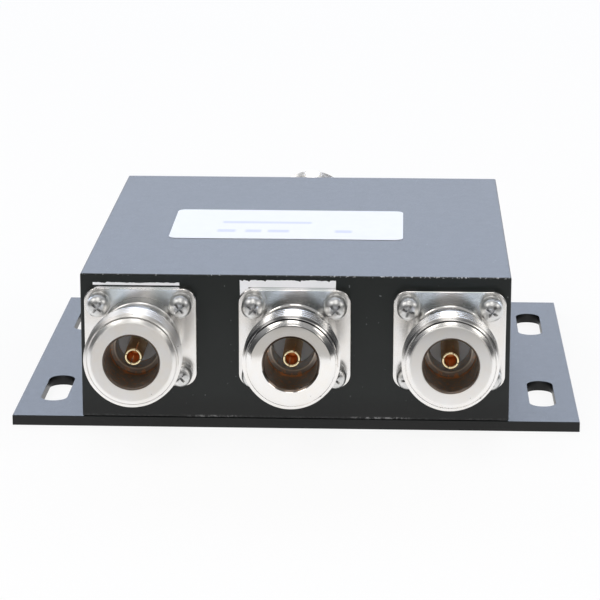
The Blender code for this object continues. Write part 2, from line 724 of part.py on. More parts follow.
def build_labels(material):
    outline = rounded_rectangle(TOP_LABEL_WIDTH, TOP_LABEL_DEPTH, TOP_LABEL_CORNER)
    top = plain_mesh(outline_mesh("top label", outline, LABEL_THICKNESS), material)
    place("top_label", top, at(TOP_LABEL_X, TOP_LABEL_Y, BOX_TOP + SEAT_GAP), PARTS)
    label_y = -BOX_DEPTH / 2 - SEAT_GAP - LABEL_THICKNESS / 2
    label_z = FLANGE_TOP + SEAT_GAP
    for name, x, width, height in (
        ("centre_port_label", CENTRE_LABEL_SHIFT, CENTRE_LABEL_WIDTH, CENTRE_LABEL_HEIGHT),
        ("left_port_label", LEFT_LABEL_SHIFT - JACK_PITCH, LEFT_LABEL_WIDTH, LEFT_LABEL_HEIGHT),
    ):
        strip = plain_mesh(box_mesh(name, width, LABEL_THICKNESS, height), material)
        place(name, strip, at(x, label_y, label_z), PARTS)


for leftover in list(bpy.data.objects):
    bpy.data.objects.remove(leftover)

PARTS = make_collection("rf power splitter")
CUTTERS = make_collection("cutters")

BLACK_FINISH = make_material("black finish", (0.028, 0.032, 0.032), 0.0, 0.4)
NICKEL = make_material("bright nickel", (0.78, 0.77, 0.74), 1.0, 0.16)
STEEL = make_material("screw steel", (0.66, 0.66, 0.65), 1.0, 0.25)
GOLD = make_material("gold plate", (0.83, 0.6, 0.26), 1.0, 0.22)
WHITE_RESIN = make_material("white insulator", (0.8, 0.78, 0.74), 0.0, 0.45)
LAMINATE = make_material("board laminate", (0.35, 0.3, 0.16), 0.0, 0.5)
CERAMIC = make_material("resistor ceramic", (0.06, 0.06, 0.07), 0.0, 0.35)
PAPER = make_material("white label", (0.9, 0.9, 0.91), 0.0, 0.5)

build_housing(BLACK_FINISH)
build_base_plate(BLACK_FINISH)
build_circuit_board(LAMINATE)
build_resistors(CERAMIC)
build_jacks(NICKEL, WHITE_RESIN, GOLD, STEEL)
build_inner_screws(STEEL)
build_labels(PAPER)

bpy.data.collections.remove(CUTTERS)
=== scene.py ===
"""Looks of a coaxial RF power splitter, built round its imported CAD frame.

Lengths are in metres. The frame's origin is the centre of the base plate's underside, +Z is up, the three
output jacks face -Y and the input jack faces +Y. A jack and its pieces are shaped in a frame of their own,
whose +Z points out of the box, whose +Y points up and whose origin lies on the flange's seat.
"""

import math
import random

import bmesh
import bpy
from bpy.props import FloatProperty, FloatVectorProperty, IntProperty, PointerProperty
from bpy.types import Operator, Panel, PropertyGroup
from mathutils import Matrix, Vector


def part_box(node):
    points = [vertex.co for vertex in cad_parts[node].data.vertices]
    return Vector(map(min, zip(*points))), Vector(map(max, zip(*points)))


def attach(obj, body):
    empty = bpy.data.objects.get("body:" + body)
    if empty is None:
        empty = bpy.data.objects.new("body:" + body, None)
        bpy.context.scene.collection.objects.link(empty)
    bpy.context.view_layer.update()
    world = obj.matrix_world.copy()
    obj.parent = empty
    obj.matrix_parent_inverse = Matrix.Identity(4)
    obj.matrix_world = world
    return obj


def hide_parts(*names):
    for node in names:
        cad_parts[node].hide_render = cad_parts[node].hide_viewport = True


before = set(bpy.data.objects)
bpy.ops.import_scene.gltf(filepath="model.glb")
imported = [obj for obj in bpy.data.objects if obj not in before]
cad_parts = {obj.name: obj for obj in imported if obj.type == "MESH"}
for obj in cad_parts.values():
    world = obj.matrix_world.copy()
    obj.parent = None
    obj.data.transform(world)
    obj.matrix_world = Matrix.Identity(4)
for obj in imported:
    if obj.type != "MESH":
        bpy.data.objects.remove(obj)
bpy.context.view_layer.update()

bl_info = {
    "name": "Power splitter looks",
    "version": (1, 0, 0),
    "blender": (4, 5, 0),
    "location": "3D View > Sidebar > Splitter",
    "description": "Builds the visible pieces, finishes and studio of a coaxial power splitter",
    "category": "Object",
}

BODY = "root"
MM = 0.001

# Where the CAD pieces stand
HOUSING_LOW, HOUSING_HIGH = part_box("housing")
PLATE_LOW, PLATE_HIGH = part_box("base_plate")
BOARD_LOW, BOARD_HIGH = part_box("circuit_board")
JACKS = ("left_jack", "centre_jack", "right_jack", "input_jack")
BOLTS = (1, 2, 3, 4)

# Heights along a jack's axis, from the flange's seat
LIP_Z = 17.0 * MM
FLANGE_FACE_Z = 1.5 * MM
HOUSING_FACE_Z = -0.3 * MM
BEAD_FACE_Z = 3.6 * MM
BEAD_SEAT_Z = 0.5 * MM
SPIGOT_END_Z = -1.2 * MM

# Radii that several pieces of a jack share
SPIGOT_RADIUS = 5.0 * MM
STUB_RADIUS = 2.6 * MM
PIN_RADIUS = 0.9 * MM
SHANK_RADIUS = 1.0 * MM
TAP_RADIUS = 1.3 * MM

# The barrel in front of its thread and behind it. LEAD_IN is measured from the lip, LEAD_CUT inwards from the crests
LEAD_IN = 0.86 * MM
LEAD_CUT = 0.72 * MM
MOUTH_CHAMFER = 0.4 * MM
THREAD_RUNOUT = 0.2 * MM
RUNOUT_SLOPE = 3

# Fits between pieces
LABEL_ROOM = 0.12 * MM
CAVITY_GAP = 0.6 * MM
CLEARANCE = 0.3 * MM
ROOF = 2.5 * MM
TOUCH = 0.01 * MM
OVERSHOOT = 1.0 * MM
WELD = 0.000001
SHARP_ANGLE = math.radians(40)
BEVEL_ANGLE = math.radians(30)
HERE = Matrix.Identity(4)

# Tones of dust, pits, orange speckles, painted shade and painted highlights, and the two tones between which each
# inner material varies
DUST = (0.42, 0.44, 0.45)
# Painted shade in the upper grooves of the threads
GROOVE_SHADE = (0.10, 0.10, 0.105)
PIT = (0.25, 0.24, 0.23)
# Orange speckles in the bore
ORANGE_SPECKLE = (0.88, 0.50, 0.25)
# Painted dark reflection on the flange's upper middle
FLANGE_REFLECTION = (0.62, 0.66, 0.65)
# Painted shade in the narrow bore behind the step
NARROW_BORE_SHADE = (0.58, 0.55, 0.52)
# Painted highlight on the edge of the bore's step
STEP_HIGHLIGHT = (0.80, 0.74, 0.66)
# Painted shade at the bore's mouth
MOUTH_SHADE = (0.13, 0.10, 0.08)
RECESS_SHADE = (0.32, 0.32, 0.325)
LAMINATE = ((0.20, 0.19, 0.08), (0.34, 0.31, 0.15))
COPPER = ((0.72, 0.36, 0.19), (0.80, 0.45, 0.26))
GLAZE = ((0.03, 0.03, 0.035), (0.06, 0.06, 0.065))
TIN = ((0.6, 0.6, 0.58), (0.72, 0.72, 0.7))

# Left, lower, right and upper side of each bar on the top label, in millimetres from its middle
LABEL_BARS = (
    (-11.8, 0.4, 4.2, 2.0),
    (-12.4, -6.6, -9.2, -4.6),
    (-7.4, -6.6, -4.6, -4.6),
    (-3.4, -6.6, 0.4, -4.6),
    (8.6, -6.6, 11.6, -4.6),
)

# Name, place, target, width and height, and radiance of each lamp
LAMPS = (
    ("left_softbox", (-0.74, -0.2, 1.12), (0, 0, 0.02), (1.0, 0.46), 1.9),
    ("right_softbox", (1.06, -0.2, 0.88), (0, 0, 0.02), (0.9, 0.42), 1.9),
    ("overhead_softbox", (0.03, -0.15, 1.3), (0.03, 0, 0.02), (0.42, 1.2), 1.6),
    ("front_softbox", (0.03, -1.0, 0.85), (0, 0, 0.02), (0.36, 0.5), 2.0),
    ("front_left_softbox", (-0.66, -0.95, 0.8), (0, 0, 0.02), (0.36, 0.34), 1.8),
    ("front_right_softbox", (0.94, -0.95, 0.59), (0, 0, 0.02), (0.34, 0.34), 1.8),
    ("front_fill", (0.0, -1.25, 0.52), (0, 0, 0.02), (1.2, 0.7), 3.3),
    ("rear_softbox", (0.0, 1.3, 0.62), (0, 0, 0.02), (2.6, 0.55), 2.7),
)


def length(name, description, default):
    return FloatProperty(name=name, description=description, default=default, unit="LENGTH", min=0, precision=5)


def colour(name, description, default):
    return FloatVectorProperty(name=name, description=description, default=default, subtype="COLOR", min=0, max=1)


def share(name, description, default):
    return FloatProperty(name=name, description=description, default=default, subtype="FACTOR", min=0, max=1)


def jack_shares(name, description, default):
    """One share for each jack, in the order of JACKS."""
    return FloatVectorProperty(name=name, description=description, default=default, size=4, min=0, max=1)


class SplitterBox(PropertyGroup):
    """The painted housing and its base plate."""

    edge_radius: length("Edge radius", "Rounding of the housing's outer edges", 0.25 * MM)
    seam: length("Seam", "Gap between the housing and the base plate", 0.03 * MM)
    plate_edge: length("Plate edge", "Rounding of the base plate's edges and slots", 0.1 * MM)
    slot_width: length("Slot width", "Width of the four mounting slots", 4.5 * MM)
    slot_length: length("Slot length", "Length of the four mounting slots", 15.4 * MM)
    slot_setback: length("Slot setback", "From the plate's end to the near end of a slot", 9.0 * MM)
    slot_shift: length("Slot shift", "From the middle of an ear outwards to its slots", 0.3 * MM)
    paint: colour("Paint", "Colour of the satin black paint", (0.0050, 0.0073, 0.0069))
    paint_roughness: share("Paint roughness", "How matt the paint is", 0.34)
    bare_metal: colour("Bare metal", "Aluminium where the paint is chipped", (0.50, 0.50, 0.51))
    chip_reach: length("Chip reach", "How far the chips come in from an edge", 0.3 * MM)


class SplitterJack(PropertyGroup):
    """The nickel-plated jack bodies, with their contacts and insulators."""

    thread_radius: length("Thread radius", "Half the thread's outer diameter", 7.94 * MM)
    thread_pitch: length("Thread pitch", "From one thread crest to the next", 1.058 * MM)
    thread_depth: length("Thread depth", "From crest to root", 0.6 * MM)
    thread_start: length("Thread start", "From the lip to the first full crest", 1.3 * MM)
    thread_length: length("Thread length", "Length of the threaded stretch", 4.4 * MM)
    neck_radius: length("Neck radius", "Plain barrel behind the thread", 6.7 * MM)
    boss_radius: length("Boss radius", "Step of the barrel in front of the flange", 6.9 * MM)
    boss_length: length("Boss length", "How far that step stands in front of the flange", 3.2 * MM)
    face_radius: length("Face radius", "Outer edge of the flat ring round the mouth", 6.5 * MM)
    face_crown: length("Face crown", "How far that ring falls off towards its outer edge", 0.1 * MM)
    bore_radius: length("Bore radius", "Radius of the mouth's bore", 4.35 * MM)
    bore_depth: length("Bore depth", "From the lip to the step in the bore", 9.1 * MM)
    inner_radius: length("Inner bore", "Radius of the bore behind the step", 3.5 * MM)
    flange_corner: length("Flange corner", "Radius of the flange's corners", 2.3 * MM)
    flange_edge: length("Flange edge", "Rounding of the flange's edges", 0.16 * MM)
    contact_radius: length("Contact radius", "Radius of the centre contact", 1.5 * MM)
    socket_radius: length("Socket radius", "Radius of the hole in the contact", 1.0 * MM)
    contact_setback: length("Contact setback", "From the lip to the contact's tip", 3.4 * MM)
    nickel: colour("Nickel", "Plating of the jack bodies", (0.96, 0.945, 0.93))
    barrel_roughness: jack_shares("Barrel roughness", "How satin each barrel is", (0.30, 0.15, 0.22, 0.2))
    ring_roughness: jack_shares("Ring roughness", "How satin each mouth's ring is", (0.7, 0.1, 0.45, 0.2))
    # Painted shade: how dark each jack's upper thread grooves are painted
    groove_shade: jack_shares("Groove shade", "How dark the grooves of each thread are", (0.15, 1.0, 0.7, 0.0))
    flange_roughness: share("Flange roughness", "How satin the milled flanges are", 0.24)
    # Painted shade inside the bore
    shade: colour("Bore stain", "Brown stain on the plating inside the bore", (0.52, 0.46, 0.41))
    gold: colour("Gold", "Plating of the centre contacts", (0.97, 0.83, 0.52))
    socket_tone: colour("Socket", "Tarnished gold inside the contact's socket", (0.88, 0.5, 0.25))
    resin: colour("Insulator", "Colour of the insulator beads", (0.90, 0.95, 1.0))


class SplitterScrews(PropertyGroup):
    """The flange screws with their washers, and the countersunk cover screws."""

    head_radius: length("Head radius", "Radius of the pan heads", 1.9 * MM)
    washer_radius: length("Washer radius", "Radius of the flat washers", 1.95 * MM)
    flat_washer: length("Flat washer", "Thickness of the flat washers", 0.45 * MM)
    lock_washer: length("Lock washer", "Thickness of the spring washers", 0.6 * MM)
    recess_span: length("Recess span", "Width of the cross recess", 2.5 * MM)
    recess_width: length("Recess width", "Width of the recess's arms", 0.42 * MM)
    recess_depth: length("Recess depth", "Depth of the recess", 0.7 * MM)
    steel: colour("Steel", "Zinc-plated steel of the screws", (0.83, 0.83, 0.82))
    steel_roughness: share("Steel roughness", "How bright the screws are", 0.34)
    seed: IntProperty(name="Seed", description="Picks how far each screw is turned", default=11, min=0)


class SplitterLabels(PropertyGroup):
    """The three paper labels."""

    thickness: length("Thickness", "Thickness of the label stock", 0.08 * MM)
    corner: length("Corner", "Radius of the top label's corners", 1.5 * MM)
    above_flange: length("Above flange", "Gap between the left port label and its flange", 0.16 * MM)
    leg: length("Leg", "How far the centre label reaches down beside its flange's corner", 1.6 * MM)
    ragged: length("Ragged edge", "Depth of the tears along a port label's top edge", 0.2 * MM)
    paper: colour("Paper", "Colour of the label stock", (0.86, 0.87, 0.91))
    bars: colour("Bars", "Colour of the faint generic bars", (0.52, 0.56, 0.76))
    seed: IntProperty(name="Seed", description="Picks the shape of the torn edges", default=5, min=0)


class SplitterStudio(PropertyGroup):
    """Camera, floor, lamps and surroundings."""

    camera_place: FloatVectorProperty(
        name="Camera place",
        description="Where the camera stands",
        default=(0.017183, -0.460185, 0.131663),
        subtype="TRANSLATION",
        unit="LENGTH",
    )
    camera_turn: FloatVectorProperty(
        name="Camera turn",
        description="Rotation of the camera about X, Y and Z",
        default=(math.radians(75.4441), math.radians(-0.0645), math.radians(2.2461)),
        subtype="EULER",
        unit="ROTATION",
    )
    lens: FloatProperty(name="Lens", description="Focal length in millimetres", default=156.11, min=1)
    floor_size: length("Floor size", "Side of the square floor", 6.0)
    floor_front: FloatProperty(
        name="Floor front", description="Where the floor ends in front of the object", default=-0.126, unit="LENGTH"
    )
    floor: colour("Floor", "Colour of the pale floor", (0.93, 0.93, 0.94))
    backdrop: colour("Backdrop", "Colour of the surroundings behind the object", (1.0, 1.0, 1.0))
    room: colour("Room", "Colour of the surroundings beside and in front of the object", (0.05, 0.052, 0.055))
    ground: colour("Ground", "Colour of the surroundings below the object", (0.5, 0.49, 0.475))
    ceiling: colour("Ceiling", "Colour of the surroundings above the object", (0.30, 0.305, 0.31))
    rear_lamp: colour("Rear lamp", "Colour of the softbox behind the object", (0.58, 0.72, 1.0))
    lamp: colour("Lamps", "Colour of the other softboxes", (1.0, 0.98, 0.95))


class Wire:
    """An output socket. Arithmetic on it adds the nodes that work it out."""

    def __init__(self, graph, socket):
        self.graph = graph
        self.socket = socket

    def output(self, name):
        """Another output of the same node."""
        return Wire(self.graph, self.socket.node.outputs[name])

    def work(self, operation, first, second):
        wires = [item for item in (first, second) if isinstance(item, Wire)]
        values = all(wire.socket.type == "VALUE" for wire in wires)
        kind = "ShaderNodeMath" if values else "ShaderNodeVectorMath"
        return self.graph.node(kind, {"operation": operation}, {0: first, 1: second})

    def __add__(self, other):
        return self.work("ADD", self, other)

    def __radd__(self, other):
        return self.work("ADD", other, self)

    def __sub__(self, other):
        return self.work("SUBTRACT", self, other)

    def __rsub__(self, other):
        return self.work("SUBTRACT", other, self)

    def __mul__(self, other):
        return self.work("MULTIPLY", self, other)


class Graph:
    """A node tree that is wired one node at a time."""

    def __init__(self, owner):
        owner.use_nodes = True
        self.tree = owner.node_tree
        self.tree.nodes.clear()

    def node(self, kind, settings=None, sockets=None, output=None):
        """Add a node of a type, with its settings and then the values or links of its sockets."""
        node = self.tree.nodes.new(kind)
        for name, value in (settings or {}).items():
            setattr(node, name, value)
        for name, value in (sockets or {}).items():
            if isinstance(name, int):
                socket = node.inputs[name]
            else:
                socket = next(item for item in node.inputs if item.name == name and item.enabled)
            if isinstance(value, Wire):
                self.tree.links.new(value.socket, socket)
            elif socket.type == "VECTOR" and isinstance(value, (int, float)):
                socket.default_value = (value, value, value)
            elif socket.type == "RGBA":
                socket.default_value = (*value[:3], 1)
            else:
                socket.default_value = value
        if not node.outputs:
            return None
        picked = node.outputs[output] if output else next(item for item in node.outputs if item.enabled)
        return Wire(self, picked)

    def place(self):
        """The point of the surface in its own object's frame, in metres."""
        return self.node("ShaderNodeTexCoord", output="Object")

    def axes(self, place):
        """The X, Y and Z of a point."""
        x = self.node("ShaderNodeSeparateXYZ", None, {0: place}, "X")
        return x, x.output("Y"), x.output("Z")

    def radius(self, x, y):
        """How far a point is from the Z axis."""
        flat = self.node("ShaderNodeCombineXYZ", None, {"X": x, "Y": y})
        return self.node("ShaderNodeVectorMath", {"operation": "LENGTH"}, {0: flat}, "Value")

    def noise(self, place, grain, detail=2.0, roughness=0.5):
        """Noise whose blobs are about one grain across, from 0 to 1."""
        sockets = {"Vector": place, "Scale": 1 / grain, "Detail": detail, "Roughness": roughness}
        return self.node("ShaderNodeTexNoise", None, sockets)

    def step(self, value, low, high):
        """0 below the low value, 1 above the high one, and smooth between them."""
        sockets = {"Value": value, "From Min": low, "From Max": high}
        return self.node("ShaderNodeMapRange", {"interpolation_type": "SMOOTHSTEP"}, sockets)

    def below(self, value, low, high):
        """1 below the low value, 0 above the high one, and smooth between them."""
        return 1 - self.step(value, low, high)

    def between(self, value, start, low, high, end):
        """1 from the low to the high value, and 0 before the start and past the end."""
        return self.step(value, start, low) * self.below(value, high, end)

    def mix(self, factor, first, second):
        """Between two colours."""
        return self.node("ShaderNodeMix", {"data_type": "RGBA"}, {"Factor": factor, "A": first, "B": second})

    def larger(self, first, second):
        return self.node("ShaderNodeMath", {"operation": "MAXIMUM"}, {0: first, 1: second})

    def absolute(self, value):
        return self.node("ShaderNodeMath", {"operation": "ABSOLUTE"}, {0: value})

    def bump(self, height, depth, strength=1.0):
        """A normal for a relief whose height runs from 0 to 1 over the given depth."""
        return self.node("ShaderNodeBump", None, {"Height": height, "Distance": depth, "Strength": strength})

    def surface(self, **sockets):
        """Close the graph with one Principled shader."""
        named = {name.replace("_", " ").title().replace("Ior", "IOR"): value for name, value in sockets.items()}
        shader = self.node("ShaderNodeBsdfPrincipled", None, named)
        self.node("ShaderNodeOutputMaterial", None, {"Surface": shader})


def new_finish(name):
    material = bpy.data.materials.new(name)
    graph = Graph(material)
    return material, graph, graph.place()


def bare_chips(graph, place, box):
    """Where the paint is gone: chips along the housing's upper front edge and burrs along the lower one."""
    x, y, z = graph.axes(place)
    reach = box.chip_reach
    upper = graph.larger(HOUSING_HIGH.z - z, y - HOUSING_LOW.y)
    lower = graph.larger(z - HOUSING_LOW.z, y - HOUSING_LOW.y)
    right = graph.step(x, -8 * MM, 22 * MM)
    speck = graph.noise(place, 0.42 * MM, 2.0, 0.6)
    chips = graph.below(upper, reach * 0.35, reach) * graph.step(speck + right * 0.06, 0.62, 0.68)
    rough = graph.noise(place, 0.7 * MM, 3.0, 0.7)
    burrs = graph.below(lower, reach * 0.3, reach * 0.8) * graph.step(rough, 0.44, 0.62)
    left_patch = graph.between(x, -18.6 * MM, -16 * MM, -11 * MM, -8.5 * MM)
    right_patch = graph.between(x, 8.5 * MM, 11 * MM, 17.5 * MM, 20 * MM)
    return graph.larger(chips, burrs * (left_patch * 0.3 + right_patch * 0.36 + 0.05))


def black_paint(name, box, chipped):
    """Satin black paint with a fine grain, darker towards the bottom as painted shade. The chipped kind is worn
    bright along its front edges.
    """
    material, graph, place = new_finish(name)
    z = graph.axes(place)[2]
    mottle = graph.noise(place, 2.2 * MM, 4.0, 0.6)
    grain = graph.noise(place, 0.32 * MM, 3.0, 0.6)
    dust = graph.step(graph.noise(place, 0.55 * MM, 1.0), 0.765, 0.80)
    paint = Vector(box.paint)
    base = graph.mix(mottle, paint * 0.8, paint * 1.25)
    base = graph.mix(dust * 0.25, base, DUST)
    roughness = box.paint_roughness + (grain - 0.5) * 0.10 + (mottle - 0.5) * 0.05
    if chipped:
        # Painted shade: the lowest few millimetres of the housing are darker
        foot = graph.step(z, HOUSING_LOW.z + 1 * MM, HOUSING_LOW.z + 5 * MM)
        bare = bare_chips(graph, place, box)
        base = graph.mix(bare, graph.mix(foot, paint * 0.3, base), box.bare_metal)
        roughness = roughness + bare * 0.05
    else:
        bare = 0.0
        # Painted shade: the plate's edges and underside are darker than its top
        base = graph.mix(graph.step(z, PLATE_HIGH.z - 0.2 * MM, PLATE_HIGH.z), paint * 0.1, base)
    fine = graph.noise(place, 0.16 * MM, 2.0, 0.5)
    normal = graph.bump(grain * 0.7 + fine * 0.3, 0.018 * MM)
    graph.surface(base_color=base, roughness=roughness, metallic=bare, ior=1.47, normal=normal)
    return material


def nickel_plate(name, jack, barrel_roughness, ring_roughness, groove_shade):
    """Nickel, turned on the barrel and its ring, milled on the flange, with painted shade in the upper grooves and
    the bore, orange speckles in the bore, a painted highlight on the bore's step and a painted dark reflection on
    the flange.
    """
    material, graph, place = new_finish(name)
    x, y, z = graph.axes(place)
    radius = graph.radius(x, y)
    flange = graph.below(z, FLANGE_FACE_Z + 0.05 * MM, FLANGE_FACE_Z + 0.15 * MM)
    ring_face = graph.step(z, LIP_Z - 0.3 * MM, LIP_Z - 0.15 * MM)
    outside = graph.step(radius, jack.bore_radius + 1 * MM, jack.bore_radius + 1.1 * MM)

    # Painted shade in the upper half of the nose's groove and of the thread
    cut = jack.thread_radius - LEAD_CUT
    root = jack.thread_radius - jack.thread_depth
    back = thread_back(jack)
    groove = graph.below(radius, cut + 0.19 * MM, cut + 0.21 * MM) * outside
    groove = groove * graph.between(z, LIP_Z - 1.15 * MM, LIP_Z - 1.1 * MM, LIP_Z - 0.72 * MM, LIP_Z - 0.68 * MM)
    thread = graph.between(z, back, back + 0.1 * MM, LIP_Z - 1.3 * MM, LIP_Z - 1.2 * MM)
    thread = thread * graph.below(radius, root + 0.35 * MM, root + 0.5 * MM) * outside
    painted_groove_shade = graph.larger(groove, thread * 0.8) * graph.step(y, 0.0, 3 * MM) * groove_shade

    # The bore in painted shade, darker at its mouth and deep end, with a painted highlight on the step's edge,
    # orange speckles thickest at its foot, and the narrower bore behind, also in painted shade
    step_z = LIP_Z - jack.bore_depth
    narrow = jack.inner_radius
    bore = graph.below(radius, jack.bore_radius + 0.27 * MM, jack.bore_radius + 0.37 * MM)
    bore = bore * graph.below(z, LIP_Z - 0.03 * MM, LIP_Z)
    mouth = bore * graph.step(z, LIP_Z - 0.6 * MM, LIP_Z - 0.4 * MM)
    deep = bore * graph.below(z, step_z + 0.5 * MM, LIP_Z - 1.5 * MM)
    inner = graph.below(radius, narrow + 0.02 * MM, narrow + 0.08 * MM)
    step_highlight = graph.between(z, step_z - 0.25 * MM, step_z - 0.1 * MM, step_z + 0.02 * MM, step_z + 0.1 * MM)
    step_highlight = step_highlight * graph.below(radius, narrow + 0.18 * MM, narrow + 0.3 * MM)
    foot = graph.between(z, step_z + 0.1 * MM, step_z + 0.3 * MM, step_z + 0.9 * MM, step_z + 1.9 * MM)
    speckle = graph.noise(place, 0.7 * MM, 3.0, 0.6)
    orange_speckles = graph.larger(graph.step(speckle, 0.52, 0.66) * 0.7, foot * graph.step(speckle, 0.34, 0.56)) * bore

    turned = graph.node("ShaderNodeCombineXYZ", None, {"X": radius, "Y": z, "Z": 0.0})
    grooves = graph.noise(turned, 0.09 * MM, 2.0, 0.7)
    blasted = graph.noise(place, 0.2 * MM, 2.0, 0.6)
    cloud = graph.noise(place, 2.6 * MM, 4.0, 0.6)
    relief = grooves * (1 - flange) + blasted * flange * 0.35
    pit = graph.step(graph.noise(place, 0.5 * MM, 1.5), 0.745, 0.775) * (1 - bore)
    # Painted reflection: the flange's upper middle, either side of the barrel, is darker
    band = graph.between(graph.absolute(x), 1 * MM, 3.2 * MM, 4.8 * MM, 6.6 * MM)
    dark_reflection = flange * graph.step(y, 4 * MM, 6.5 * MM) * band

    tone = Vector(jack.nickel)
    warm = Vector((tone.x, tone.y * 0.985, tone.z * 0.96))
    shade = Vector(jack.shade)
    base = graph.mix(graph.step(cloud, 0.35, 0.7), tone, warm)
    # Painted shade in the upper grooves
    base = graph.mix(painted_groove_shade, base, GROOVE_SHADE)
    base = graph.mix(dark_reflection * (0.6 + cloud * 0.4), base, FLANGE_REFLECTION)
    # Painted shade inside the bore, darker towards its deep end, and in the narrow bore behind
    base = graph.mix(bore, base, shade)
    base = graph.mix(deep * (0.5 + cloud * 0.5), base, shade * 0.8)
    base = graph.mix(inner, base, NARROW_BORE_SHADE)
    # Orange speckles in the bore, thickest near its step
    base = graph.mix(orange_speckles, base, ORANGE_SPECKLE)
    # Painted highlight on the step's edge
    base = graph.mix(step_highlight * 0.8, base, STEP_HIGHLIGHT)
    # Painted shade at the bore's mouth
    base = graph.mix(mouth * 0.85, base, MOUTH_SHADE)
    base = graph.mix(pit * 0.6, base, PIT)

    satin = flange * (jack.flange_roughness - barrel_roughness) + bore * 0.16
    satin = satin + ring_face * (ring_roughness - barrel_roughness)
    rough = barrel_roughness + satin + (cloud - 0.5) * 0.08 + (relief - 0.5) * 0.06 + pit * 0.2
    graph.surface(base_color=base, metallic=1.0, roughness=rough, normal=graph.bump(relief, 0.003 * MM, 0.6))
    return material


def screw_metal(name, screws, recess_from):
    """Bright zinc on steel, with small scuffs, and painted shade in the recess below the given height."""
    material, graph, place = new_finish(name)
    x, y, z = graph.axes(place)
    cloud = graph.noise(place, 0.9 * MM, 3.0, 0.6)
    scuff = graph.step(graph.noise(place, 0.28 * MM, 2.0, 0.7), 0.56, 0.7)
    floor = recess_from - screws.recess_depth
    recess = graph.below(graph.radius(x, y), screws.recess_span * 0.5, screws.recess_span * 0.54)
    recess = recess * graph.between(z, floor - 0.1 * MM, floor, recess_from - 0.1 * MM, recess_from)
    steel = Vector(screws.steel)
    base = graph.mix(graph.step(cloud, 0.35, 0.7), steel * 0.86, steel * 1.06)
    base = graph.mix(scuff * 0.35, base, steel * 0.55)
    # Painted shade in the cross recess
    base = graph.mix(recess * 0.5, base, RECESS_SHADE)
    rough = screws.steel_roughness + (cloud - 0.5) * 0.2 + scuff * 0.12
    graph.surface(base_color=base, metallic=1.0, roughness=rough, normal=graph.bump(scuff + cloud, 0.012 * MM, 0.7))
    return material


def gold_plate(jack):
    """Pale gold on the tip, darker and browner down the side as painted shade, and dark red inside the socket."""
    material, graph, place = new_finish("gold_plate")
    x, y, z = graph.axes(place)
    tip_z = LIP_Z - jack.contact_setback
    tip = graph.step(z, tip_z - 0.35 * MM, tip_z - 0.12 * MM)
    hole = jack.socket_radius
    socket = graph.below(graph.radius(x, y), hole + 0.02 * MM, hole + 0.08 * MM) * (1 - tip)
    cloud = graph.noise(place, 0.8 * MM, 3.0, 0.6)
    fine = graph.noise(place, 0.12 * MM, 2.0, 0.6)
    gold = Vector(jack.gold)
    # Painted shade: the contact's side is darker and browner than its tip
    shaded_gold = Vector((gold.x * 0.95, gold.y * 0.76, gold.z * 0.6))
    base = graph.mix(tip, graph.mix(cloud, shaded_gold, shaded_gold * 0.7), gold)
    base = graph.mix(socket, base, jack.socket_tone)
    rough = 0.36 - tip * 0.16 + (cloud - 0.5) * 0.14 + (fine - 0.5) * 0.06
    graph.surface(base_color=base, metallic=1.0, roughness=rough, normal=graph.bump(fine, 0.004 * MM))
    return material


def insulator_resin(jack):
    """Milky white resin with a faint cloud in it."""
    material, graph, place = new_finish("insulator_resin")
    cloud = graph.noise(place, 1.1 * MM, 3.0, 0.5)
    fine = graph.noise(place, 0.15 * MM, 2.0, 0.6)
    resin = Vector(jack.resin)
    base = graph.mix(cloud, resin * 0.92, resin * 1.05)
    rough = 0.42 + (fine - 0.5) * 0.14
    graph.surface(base_color=base, roughness=rough, ior=1.35, normal=graph.bump(fine, 0.006 * MM))
    return material


def label_paper(name, labels, bars=()):
    """White label stock with a slight fibre. Bars are (x0, y0, x1, y1) fields in a faint tint, in millimetres."""
    material, graph, place = new_finish(name)
    fibre = graph.noise(place, 0.25 * MM, 4.0, 0.7)
    cloud = graph.noise(place, 3.0 * MM, 3.0, 0.6)
    paper = Vector(labels.paper)
    base = graph.mix(cloud, paper * 0.97, paper * 1.03)
    base = graph.mix(graph.step(fibre, 0.6, 0.8) * 0.12, base, paper * 0.7)
    if bars:
        x, y, _ = graph.axes(place)
        soft = 0.35
        ink = 0.0
        for x0, y0, x1, y1 in bars:
            across = graph.between(x, (x0 - soft) * MM, (x0 + soft) * MM, (x1 - soft) * MM, (x1 + soft) * MM)
            along = graph.between(y, (y0 - soft) * MM, (y0 + soft) * MM, (y1 - soft) * MM, (y1 + soft) * MM)
            ink = across * along + ink
        base = graph.mix(ink * (0.35 + fibre * 0.5), base, labels.bars)
    rough = 0.5 + (fibre - 0.5) * 0.2
    graph.surface(base_color=base, roughness=rough, ior=1.45, normal=graph.bump(fibre, 0.01 * MM, 0.6))
    return material


def board_laminate():
    """Green-brown glass laminate, with copper wherever the surface lies on the track's level."""
    material, graph, place = new_finish("board_laminate")
    copper = graph.below(graph.axes(place)[2], BOARD_LOW.z + 0.15 * MM, BOARD_LOW.z + 0.27 * MM)
    weave = graph.noise(place, 0.4 * MM, 3.0, 0.6)
    cloud = graph.noise(place, 3.0 * MM, 3.0, 0.6)
    base = graph.mix(copper, graph.mix(weave, *LAMINATE), graph.mix(cloud, *COPPER))
    rough = 0.45 - copper * 0.15 + (weave - 0.5) * 0.15
    graph.surface(base_color=base, metallic=copper, roughness=rough, normal=graph.bump(weave, 0.02 * MM, 0.5))
    return material


